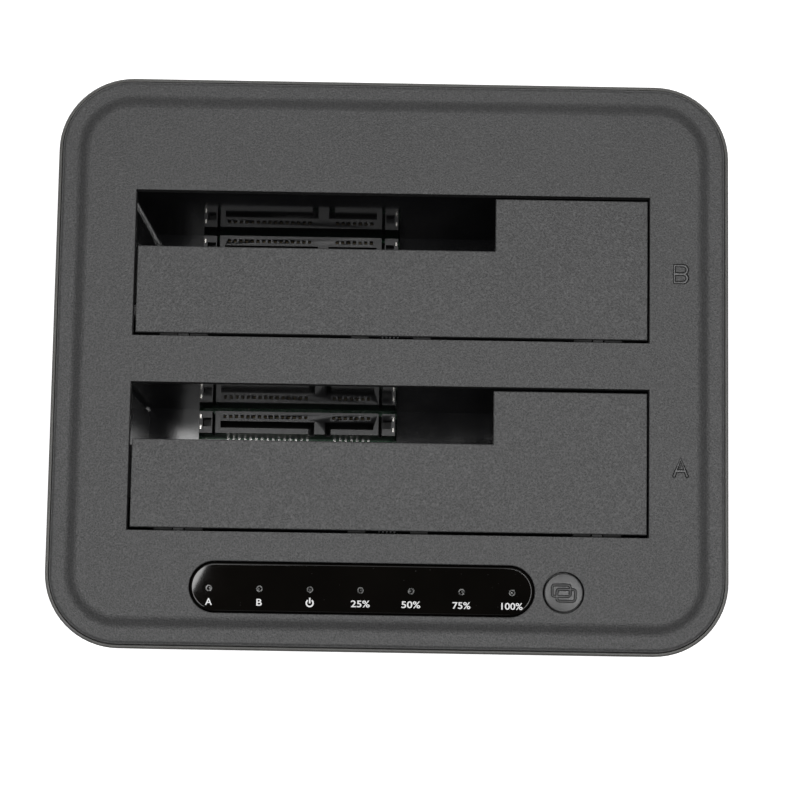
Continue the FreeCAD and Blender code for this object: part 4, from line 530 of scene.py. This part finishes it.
def words_mesh(name, words, size, centre, low, high, bolden):
    """Lettering of a width and height from low to high; bolden widens each stroke, in letter heights."""
    curve = bpy.data.curves.new(name, "FONT")
    curve.body = words
    curve.offset = bolden
    curve.extrude = 0.5
    solid = flat_mesh(name, curve)
    lowest, highest = reach(solid)
    spread = highest - lowest
    middle = (lowest + highest) / 2
    solid.transform(Matrix.Translation((-middle.x, -middle.y, 0.0)))
    solid.transform(Matrix.Diagonal((size[0] / spread.x, size[1] / spread.y, high - low, 1.0)))
    solid.transform(Matrix.Translation((centre[0], centre[1], (low + high) / 2)))
    bm = bmesh.new()
    bm.from_mesh(solid)
    bmesh.ops.remove_doubles(bm, verts=bm.verts[:], dist=0.001 * MM)
    bmesh.ops.recalc_face_normals(bm, faces=bm.faces[:])
    bm.to_mesh(solid)
    bm.free()
    bpy.data.curves.remove(curve)
    return solid


def flat_mesh(name, curve):
    """The mesh of a curve or lettering."""
    holder = loose_object(name, curve)
    bpy.context.view_layer.update()
    graph = bpy.context.evaluated_depsgraph_get()
    mesh = bpy.data.meshes.new_from_object(holder.evaluated_get(graph))
    bpy.data.objects.remove(holder)
    return mesh


def reach(mesh):
    """Lowest and highest corner of a mesh."""
    points = [v.co for v in mesh.vertices]
    lowest = Vector([min(p[k] for p in points) for k in range(3)])
    highest = Vector([max(p[k] for p in points) for k in range(3)])
    return lowest, highest


def arc(centre, radius, start, end, steps=8):
    """Points along an arc from start to end degrees."""
    angles = [math.radians(start + (end - start) * i / steps) for i in range(steps + 1)]
    return [(centre[0] + radius * math.cos(a), centre[1] + radius * math.sin(a)) for a in angles]


def letter_a(wide, tall):
    """Middle lines of the letter A: paths and whether each is closed."""
    bar = -0.21 * tall
    lean = wide / 2 * (tall / 2 - bar) / tall
    legs = [(-wide / 2, -tall / 2), (0.0, tall / 2), (wide / 2, -tall / 2)]
    return [(legs, False), ([(-lean, bar), (lean, bar)], False)]


def letter_b(wide, tall):
    """Middle lines of the letter B."""
    bowl = tall / 4
    turn = wide / 2 - bowl
    left = -wide / 2
    waist = math.radians(65.0)
    upper = arc((turn, bowl), bowl, 90.0, -65.0)
    lower = arc((turn, -bowl), bowl, 65.0, -90.0)
    outline = [(left, -tall / 2), (left, tall / 2), *upper, *lower]
    bar = [(left, 0.0), (turn + bowl * math.cos(waist), 0.0)]
    return [(outline, True), (bar, False)]


def round_frame(centre, wide, tall, corner):
    """Middle line of a rectangle with round corners."""
    right = wide / 2 - corner
    up = tall / 2 - corner
    path = []
    for x, y, start in ((right, up, 90.0), (right, -up, 0.0), (-right, -up, -90.0), (-right, up, -180.0)):
        path += arc((centre[0] + x, centre[1] + y), corner, start, start - 90.0, 4)
    return path, True


def tube(name, path, closed, radius):
    """A round wire along one flat path; the ends of an open one are drawn out to round tips."""
    points = [(Vector((x, y, 0.0)), 1.0) for x, y in path]
    if not closed:
        first = (points[0][0] - points[1][0]).normalized() * radius
        last = (points[-1][0] - points[-2][0]).normalized() * radius
        points = [
            (points[0][0] + 0.95 * first, 0.3), (points[0][0] + 0.6 * first, 0.8), *points,
            (points[-1][0] + 0.6 * last, 0.8), (points[-1][0] + 0.95 * last, 0.3),
        ]
    curve = bpy.data.curves.new(name, "CURVE")
    curve.dimensions = "3D"
    curve.bevel_depth = radius
    curve.bevel_resolution = 3
    curve.use_fill_caps = True
    spline = curve.splines.new("POLY")
    spline.points.add(len(points) - 1)
    for point, (place, factor) in zip(spline.points, points):
        point.co = (*place, 1.0)
        point.radius = factor
    spline.use_cyclic_u = closed
    mesh = flat_mesh(name, curve)
    bpy.data.curves.remove(curve)
    bm = bmesh.new()
    bm.from_mesh(mesh)
    bmesh.ops.remove_doubles(bm, verts=bm.verts[:], dist=0.0005 * MM)
    bmesh.ops.recalc_face_normals(bm, faces=bm.faces[:])
    bm.to_mesh(mesh)
    bm.free()
    return mesh


def wires(name, paths, radius, centre, level, deep=1.0):
    """Paths drawn as one closed solid of round wire at a place and level, deep times as deep as wide."""
    whole = loose_object(name, tube(name, *paths[0], radius))
    for path in paths[1:]:
        cut_by(whole, loose_object(name, tube(name, *path, radius)), "UNION")
    mesh = whole.data
    bpy.data.objects.remove(whole)
    mesh.transform(Matrix.Diagonal((1.0, 1.0, deep, 1.0)))
    mesh.transform(Matrix.Translation((centre[0], centre[1], level)))
    return mesh


# ---------------------------------------------------------------------------------------------
# Operators: one for each piece or group of like pieces

# Nodes that only take smooth shading
NODES_SMOOTHED = (
    "usb_shell", "usb_insert", "power_jack", "jack_pin", "power_switch",
    "rubber_feet", "case_screws", "well_screws", "front_screws", "board_screws", "capacitors", "choke",
)


class DUPLICATOR_OT_finishes(bpy.types.Operator):
    """Makes the finishes and gives them to the frame's own nodes"""

    bl_idname = "duplicator.finishes"
    bl_label = "Finishes"

    def execute(self, context):
        scene = context.scene
        make_finishes(scene.duplicator_colours, scene.duplicator_sizes)
        for name, node in frame["nodes"].items():
            finish = FINISHES[slot_of(name)]
            if not node.material_slots:
                node.data.materials.append(finish)
            for place in node.material_slots:
                place.material = finish
        return {"FINISHED"}


def dressed(node, edit=None, angle=32.0, cuts=(), grooves=(), finish=None):
    """A smooth copy of a CAD node that stands for it; edit changes its bmesh, grooves are cut from it."""
    bm = copy_of(node, cuts)
    if edit:
        edit(bm)
    slot = slot_of(node)
    piece = piece_from(node + "_skin", bm, FINISHES[finish or slot], body_of(node))
    for groove in grooves:
        cut_by(piece, loose_object("groove", groove))
    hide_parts(node)
    return soften(piece, angle)


def refinish(piece, finish, accept):
    """Gives the faces whose middle is accepted another finish."""
    piece.data.materials.append(FINISHES[finish])
    last = len(piece.data.materials) - 1
    for face in piece.data.polygons:
        if accept(face.center):
            face.material_index = last
    return piece


class DUPLICATOR_OT_fittings(bpy.types.Operator):
    """Smooth copies of turned and rounded fittings: screws, feet, ports, pins and cans"""

    bl_idname = "duplicator.fittings"
    bl_label = "Fittings"

    def execute(self, context):
        for node in NODES_SMOOTHED:
            dressed(node)
        return {"FINISHED"}


SOCKET_WALL = 0.3 * MM  # an inner face of a connector lies deeper than this behind its sides
# below this depth the chambers and the contacts in them get painted shade
SOCKET_RIM = 0.6 * MM  # its chambers turn dark this far below the mouth
TAILS_TOP = 3.0 * MM  # the tinned tails end this high above the board
FLOOR_HIGH = 2.0 * MM  # a well's floor lies within this height
EARS_DEEP = 2.5 * MM  # a well's hinge ears reach this far down from its brim


class DUPLICATOR_OT_connectors(bpy.types.Operator):
    """What is seen inside a bay: the drive connector, its contacts, the hinge pin and the well"""

    bl_idname = "duplicator.connectors"
    bl_label = "Drive connectors"

    def execute(self, context):
        for bay in "ab":
            self.connector(bay)
            dressed("flap_pin_" + bay, finish="dark_steel")
            self.well(bay)
        return {"FINISHED"}

    def connector(self, bay):
        """A connector whose chambers and the contacts in them are darkened with painted shade, and its
        contacts with tinned tails.
        """
        low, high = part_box("sata_socket_" + bay)
        tails_end = low.z + TAILS_TOP

        def in_chamber(centre):
            inside = all(low[k] + SOCKET_WALL < centre[k] < high[k] - SOCKET_WALL for k in (0, 1))
            return inside and low.z + SOCKET_WALL < centre.z < high.z - SOCKET_RIM

        refinish(dressed("sata_socket_" + bay), "cavity", in_chamber)
        contacts = dressed("sata_contacts_" + bay, finish="solder")
        # the contacts inside the chambers take the darkened gold: painted shade
        refinish(contacts, "chamber_metal", lambda centre: centre.z > tails_end)

    def well(self, bay):
        """A glossy well with a duller floor, and its hinge ears dull and painted darker, a painted shade.
        """
        foot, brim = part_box("bay_well_" + bay)
        well = dressed("bay_well_" + bay)
        refinish(well, "well_floor", lambda centre: centre.z < foot.z + FLOOR_HIGH)
        # the hinge ears take the near-black finish: painted shade
        refinish(well, "inner_plastic", lambda centre: centre.z > brim.z - EARS_DEEP)


BAY_LETTERS = {"a": letter_a, "b": letter_b}
LETTER_SHAPE = 0.75  # width of a bay letter as a share of its height
LETTER_X = 58.3 * MM  # the letters' distance from the middle of the dock
LETTER_DROP = 0.15 * MM  # a letter's middle lies this far in front of its flap's middle
GROOVE_DEEP = 1.6  # grooves and the lines in them are this much deeper than round
GROOVE_LIFT = 0.05 * MM  # a groove's middle lies this far above the cover
PLATEAU_RISE = 1.0 * MM  # height of the plateau's sloping sides


def letter_centre(bay):
    """Middle of the letter beside a bay."""
    low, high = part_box("bay_flap_" + bay)
    return LETTER_X, (low.y + high.y) / 2 - LETTER_DROP


class DUPLICATOR_OT_housing(bpy.types.Operator):
    """Top cover with a soft plateau, rounded openings and letters beside the bays, and the lower shell"""

    bl_idname = "duplicator.housing"
    bl_label = "Housing"

    def execute(self, context):
        sizes = context.scene.duplicator_sizes
        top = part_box("top_cover")[1].z
        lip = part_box("body_shell")[1].z
        boxes = [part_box(node) for node in ("status_window", "clone_button")]
        holes = [(low.x + high.x) / 2 for low, high in boxes]

        def cover_edges(bm):
            foot = top - PLATEAU_RISE
            soft = edges_between(bm, 22.0, 40.0, top) + edges_between(bm, 22.0, 40.0, foot)
            round_edges(bm, soft, sizes.crest_round, 3)
            round_edges(bm, edges_between(bm, 60.0, 120.0, top), sizes.cover_edge)

        def shell_edges(bm):
            round_edges(bm, edges_between(bm, 60.0, 120.0, lip), sizes.shell_edge)

        grooves = []
        for bay, letter in BAY_LETTERS.items():
            paths = letter(LETTER_SHAPE * sizes.bay_letter, sizes.bay_letter)
            centre = letter_centre(bay)
            groove = sizes.letter_groove / 2
            bead = sizes.letter_bead / 2
            grooves.append(wires("groove", paths, groove, centre, top + GROOVE_LIFT, GROOVE_DEEP))
            line = wires("bay_letter_" + bay, paths, bead, centre, top - bead * GROOVE_DEEP, GROOVE_DEEP)
            # the raised line takes the lightened cover colour: a painted highlight
            soften(settle(line.name, line, FINISHES["raised_line"], "dock"), 50.0)
        dressed("top_cover", cover_edges, 26.0, holes, grooves)
        dressed("body_shell", shell_edges)
        return {"FINISHED"}


FLAP_FACE = 0.5 * MM  # faces further down than this are a flap's inside


class DUPLICATOR_OT_flaps(bpy.types.Operator):
    """The two spring-loaded bay flaps with rounded edges"""

    bl_idname = "duplicator.flaps"
    bl_label = "Bay flaps"

    def execute(self, context):
        sizes = context.scene.duplicator_sizes
        for letter in "ab":
            node = "bay_flap_" + letter
            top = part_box(node)[1].z

            def flap_edges(bm):
                round_edges(bm, edges_between(bm, 60.0, 120.0, top), sizes.flap_edge)

            inside = top - FLAP_FACE
            # the flap's inside takes the near-black finish: painted shade
            refinish(dressed(node, flap_edges), "inner_plastic", lambda centre: centre.z < inside)
        return {"FINISHED"}


class DUPLICATOR_OT_window(bpy.types.Operator):
    """The glossy indicator window with its polished facet"""

    bl_idname = "duplicator.window"
    bl_label = "Indicator window"

    def execute(self, context):
        sizes = context.scene.duplicator_sizes
        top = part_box("status_window")[1].z

        def facet_edges(bm):
            round_edges(bm, edges_between(bm, 25.0, 80.0, top), sizes.window_edge)

        dressed("status_window", facet_edges, 20.0)
        return {"FINISHED"}


ICON_SHEETS = ((-0.50, 0.40, 3.60, 2.25), (0.48, -0.50, 3.65, 2.35))  # middle, width and height, mm
ICON_CORNER = 0.5 * MM
DOME_RISE = 0.25 * MM  # height of the cap's dome
DOME_RIM = 0.97  # share of the dome's radius inside which its corners are laid on the curve


class DUPLICATOR_OT_button(bpy.types.Operator):
    """The round clone button, with two overlapping sheets drawn on its cap"""

    bl_idname = "duplicator.button"
    bl_label = "Clone button"

    def execute(self, context):
        sizes = context.scene.duplicator_sizes
        low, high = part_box("clone_button")
        centre = ((low.x + high.x) / 2, (low.y + high.y) / 2)
        paths = [
            round_frame((x * MM, y * MM), wide * MM, tall * MM, ICON_CORNER)
            for x, y, wide, tall in ICON_SHEETS
        ]
        bead = sizes.icon_bead / 2
        groove = wires("groove", paths, sizes.icon_groove / 2, centre, high.z, GROOVE_DEEP)
        line = wires("clone_icon", paths, bead, centre, high.z - bead * GROOVE_DEEP - HAIR, GROOVE_DEEP)

        def dome(bm):
            self.smooth_dome(bm, centre, high.z)

        dressed("clone_button", dome, grooves=[groove], finish="button_satin")
        # the icon's line takes the lightened cover colour: a painted highlight
        soften(settle(line.name, line, FINISHES["icon_line"], "button"), 50.0)
        return {"FINISHED"}

    def smooth_dome(self, bm, centre, top):
        """Divides the dome into small faces and lays their corners on its curve again."""
        foot = top - 1.1 * DOME_RISE

        def dome_faces():
            flat = [face for face in bm.faces if face.normal.z > 0.9]
            return [face for face in flat if min(v.co.z for v in face.verts) > foot]

        def from_axis(corner):
            return (corner.co - Vector((*centre, corner.co.z))).length

        edge = max(from_axis(corner) for face in dome_faces() for corner in face.verts)
        bmesh.ops.triangulate(bm, faces=dome_faces())
        lines = list({line for face in dome_faces() for line in face.edges})
        done = bmesh.ops.subdivide_edges(bm, edges=lines, cuts=3, use_grid_fill=True)
        for part in done["geom_inner"] + done["geom_split"]:
            if isinstance(part, bmesh.types.BMVert) and from_axis(part) < DOME_RIM * edge:
                part.co.z = top - DOME_RISE * (from_axis(part) / edge) ** 2


# Each label and its width as a share of its height
LABELS = {"A": 1.0, "B": 0.81, "power": 1.21, "25%": 2.78, "50%": 2.78, "75%": 2.63, "100%": 3.12}
LABEL_DROP = 2.67 * MM  # from the row of light spots down to the middle of the labels
LABEL_BOLDEN = 0.012  # each stroke grows by this share of the lettering's height


def lamp_places(context):
    """Middles of the seven light spots, from left to right, and the window's upper face."""
    low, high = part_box("status_lamps")
    pitch = context.scene.duplicator_sizes.lamp_pitch
    middle = (low + high) / 2
    first = middle.x - 3 * pitch
    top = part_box("status_window")[1].z
    return [(first + pitch * i, middle.y) for i in range(len(LABELS))], top


class DUPLICATOR_OT_labels(bpy.types.Operator):
    """Printed white labels under the light spots"""

    bl_idname = "duplicator.labels"
    bl_label = "Window labels"

    def execute(self, context):
        sizes = context.scene.duplicator_sizes
        places, top = lamp_places(context)
        for (words, share), (x, y) in zip(LABELS.items(), places):
            centre = (x, y - LABEL_DROP)
            if words == "power":
                bm = self.power_sign(centre, top, sizes.label * share / 2)
                piece_from("label_power", bm, FINISHES["label_ink"], "dock")
                continue
            size = (sizes.label * share, sizes.label)
            name = "label_" + words.strip("%")
            mesh = words_mesh(name, words, size, centre, top - HAIR, top + HAIR, LABEL_BOLDEN)
            settle(mesh.name, mesh, FINISHES["label_ink"], "dock")
        return {"FINISHED"}

    def power_sign(self, centre, top, outer):
        """An open ring with a bar in its gap."""
        bm = bmesh.new()
        stroke = 0.36 * outer
        radius = outer - stroke / 2
        gap = math.radians(34.0)
        start = Vector((0.0, radius, 0.0))
        start.rotate(Euler((0.0, 0.0, gap)))
        corners = []
        for out in (-0.5, 0.5):
            for rise in (-HAIR, HAIR):
                corner = start * (1.0 + out * stroke / radius) + Vector((0.0, 0.0, rise))
                corners.append(bm.verts.new(corner))
        face = bm.faces.new((corners[0], corners[1], corners[3], corners[2]))
        bmesh.ops.spin(
            bm, geom=[face], cent=(0.0, 0.0, 0.0), axis=(0.0, 0.0, 1.0), dvec=(0.0, 0.0, 0.0),
            angle=2 * math.pi - 2 * gap, steps=28, use_merge=False, use_duplicate=False,
        )
        bar = bmesh.ops.create_cube(bm, size=1.0)["verts"]
        bmesh.ops.scale(bm, vec=(stroke, 1.35 * outer, 2 * HAIR), verts=bar)
        bmesh.ops.translate(bm, vec=(0.0, 0.62 * outer, 0.0), verts=bar)
        bmesh.ops.translate(bm, vec=(centre[0], centre[1], top), verts=bm.verts[:])
        bmesh.ops.recalc_face_normals(bm, faces=bm.faces[:])
        return bm


EYE_RING = 0.62  # inner radius of a light spot's ring, as a share of its radius
EYE_DIE = 0.3  # radius of the die in its middle, as the same share
EYE_TURN = 2.4  # angle by which the die is set aside further from one spot to the next, in radians


class DUPLICATOR_OT_lamp_eyes(bpy.types.Operator):
    """Seven dim light spots seen through the window: a lens ring round a small die"""

    bl_idname = "duplicator.lamp_eyes"
    bl_label = "Light spots"

    def execute(self, context):
        places, top = lamp_places(context)
        bm = bmesh.new()
        radius = context.scene.duplicator_sizes.lamp_eye / 2
        for number, (x, y) in enumerate(places):
            aside = EYE_DIE * radius * math.cos(EYE_TURN * number)
            parts = self.ring(bm, EYE_RING * radius, radius)
            parts += self.ring(bm, 0.0, EYE_DIE * radius, aside)
            bmesh.ops.translate(bm, vec=(x, y, top), verts=parts)
        bmesh.ops.recalc_face_normals(bm, faces=bm.faces[:])
        piece_from("lamp_eyes", bm, FINISHES["lamp_eye"], "dock")
        return {"FINISHED"}

    def ring(self, bm, inner, outer, aside=0.0):
        """A flat ring, or a disc where inner is 0, half sunk in the window."""
        profile = [(inner, HAIR), (outer, HAIR), (outer, -HAIR), (inner, -HAIR)]
        points = [bm.verts.new((x, 0.0, z)) for x, z in profile]
        lines = [bm.edges.new(pair) for pair in zip(points, points[1:] + points[:1])]
        before = set(bm.verts) - set(points)
        bmesh.ops.spin(
            bm, geom=points + lines, cent=(0.0, 0.0, 0.0), axis=(0.0, 0.0, 1.0),
            dvec=(0.0, 0.0, 0.0), angle=2 * math.pi, steps=20, use_merge=True, use_duplicate=False,
        )
        fresh = [v for v in bm.verts if v not in before]
        bmesh.ops.remove_doubles(bm, verts=fresh, dist=0.0005 * MM)
        fresh = [v for v in bm.verts if v not in before]
        bmesh.ops.translate(bm, vec=(aside, 0.0, 0.0), verts=fresh)
        return fresh


# The marks on the rocker's halves, from the lower X up, with their widths
ROCKER_MARKS = {"rocker_on_mark": ("I", 0.42 * MM), "rocker_off_mark": ("O", 2.2 * MM)}
MARK_HEIGHT = 2.4 * MM


class DUPLICATOR_OT_rocker(bpy.types.Operator):
    """The on and off marks printed on the two halves of the power rocker"""

    bl_idname = "duplicator.rocker"
    bl_label = "Rocker marks"

    def execute(self, context):
        bm = copy_of("power_rocker")
        bm.normal_update()
        outer = [face for face in bm.faces if face.normal.y > 0.7]
        halves = sorted(outer, key=lambda face: -face.calc_area())[:2]
        if len(halves) < 2:
            bm.free()
            raise RuntimeError("the rocker has no two halves to print on")
        halves.sort(key=lambda face: face.calc_center_median().x)
        places = [(face.calc_center_median().copy(), face.normal.copy()) for face in halves]
        bm.free()
        for (name, (words, wide)), (centre, normal) in zip(ROCKER_MARKS.items(), places):
            self.mark(name, words, wide, centre, normal)
        return {"FINISHED"}

    def mark(self, name, words, wide, centre, normal):
        """A white mark lying on a half of the rocker."""
        mesh = words_mesh(name, words, (wide, MARK_HEIGHT), (0.0, 0.0), -HAIR, HAIR, 0.0)
        up = Vector((0.0, 0.0, 1.0))
        turn = Matrix((up.cross(normal), up, normal)).transposed().to_4x4()
        mesh.transform(Matrix.Translation(centre) @ turn)
        settle(name, mesh, FINISHES["label_ink"], body_of("power_rocker"))


# Each soft box: its place and size in metres, its turn in degrees and its power in watts
SOFT_BOXES = {
    "left_box": ((-0.270, -0.060, 0.94), (0.24, 0.55), -26.6, 3.9),
    "right_box": ((0.270, -0.060, 0.94), (0.24, 0.55), 20.0, 4.2),
    "rear_box": ((0.0, 0.85, 0.80), (1.20, 0.40), 0.0, 2.6),
}
ROOM_COLOUR = (0.9, 0.9, 0.92, 1.0)
ROOM_STRENGTH = 0.03
CAMERA_LENS = 99.0  # mm, on a sensor 36 mm wide
CAMERA_PLACE = (0.729 * MM, -58.3 * MM, 501.8 * MM)
CAMERA_TURN = (6.602, -0.278, 0.928)  # degrees


class DUPLICATOR_OT_stage(bpy.types.Operator):
    """Paper floor, soft lights and the camera"""

    bl_idname = "duplicator.stage"
    bl_label = "Stage"

    def execute(self, context):
        bm = bmesh.new()
        bmesh.ops.create_grid(bm, x_segments=8, y_segments=8, size=3.0)
        mesh = bpy.data.meshes.new("floor")
        bm.to_mesh(mesh)
        bm.free()
        floor = bpy.data.objects.new("floor", mesh)
        context.scene.collection.objects.link(floor)
        mesh.materials.append(floor_finish())
        for name, values in SOFT_BOXES.items():
            self.soft_box(context, name, *values)
        self.room(context)
        camera_data = bpy.data.cameras.new("camera")
        camera_data.lens = CAMERA_LENS
        camera_data.sensor_width = 36.0
        camera = bpy.data.objects.new("camera", camera_data)
        camera.location = CAMERA_PLACE
        camera.rotation_euler = Euler([math.radians(angle) for angle in CAMERA_TURN])
        context.scene.collection.objects.link(camera)
        context.scene.camera = camera
        context.scene.view_settings.view_transform = "Standard"
        return {"FINISHED"}

    def soft_box(self, context, name, place, size, turn, power):
        """A rectangular soft light over the table, facing straight down and turned about its middle."""
        data = bpy.data.lights.new(name, "AREA")
        data.shape = "RECTANGLE"
        data.size, data.size_y = size
        data.energy = power
        lamp = bpy.data.objects.new(name, data)
        lamp.location = place
        lamp.rotation_euler = (0.0, 0.0, math.radians(turn))
        context.scene.collection.objects.link(lamp)

    def room(self, context):
        """A dim grey room."""
        world = bpy.data.worlds.new("room")
        world.use_nodes = True
        background = world.node_tree.nodes["Background"]
        background.inputs["Color"].default_value = ROOM_COLOUR
        background.inputs["Strength"].default_value = ROOM_STRENGTH
        context.scene.world = world


class DUPLICATOR_PT_build(bpy.types.Panel):
    """Sizes, colours and building steps of the duplicator"""

    bl_idname = "DUPLICATOR_PT_build"
    bl_label = "Drive Duplicator"
    bl_space_type = "VIEW_3D"
    bl_region_type = "UI"
    bl_category = "Duplicator"

    def draw(self, context):
        for group in (context.scene.duplicator_sizes, context.scene.duplicator_colours):
            box = self.layout.box()
            for key in group.__annotations__:
                box.prop(group, key)
        for operator in OPERATORS:
            self.layout.operator(operator.bl_idname)


OPERATORS = (
    DUPLICATOR_OT_finishes,
    DUPLICATOR_OT_fittings,
    DUPLICATOR_OT_connectors,
    DUPLICATOR_OT_housing,
    DUPLICATOR_OT_flaps,
    DUPLICATOR_OT_window,
    DUPLICATOR_OT_button,
    DUPLICATOR_OT_labels,
    DUPLICATOR_OT_lamp_eyes,
    DUPLICATOR_OT_rocker,
    DUPLICATOR_OT_stage,
)
CLASSES = (DuplicatorSizes, DuplicatorColours, *OPERATORS, DUPLICATOR_PT_build)


def register():
    for each in CLASSES:
        bpy.utils.register_class(each)
    bpy.types.Scene.duplicator_sizes = PointerProperty(type=DuplicatorSizes)
    bpy.types.Scene.duplicator_colours = PointerProperty(type=DuplicatorColours)


def unregister():
    del bpy.types.Scene.duplicator_colours
    del bpy.types.Scene.duplicator_sizes
    for each in reversed(CLASSES):
        bpy.utils.unregister_class(each)


def main():
    register()
    for operator in OPERATORS:
        group, name = operator.bl_idname.split(".")
        getattr(getattr(bpy.ops, group), name)()


if __name__ == "__main__":
    main()
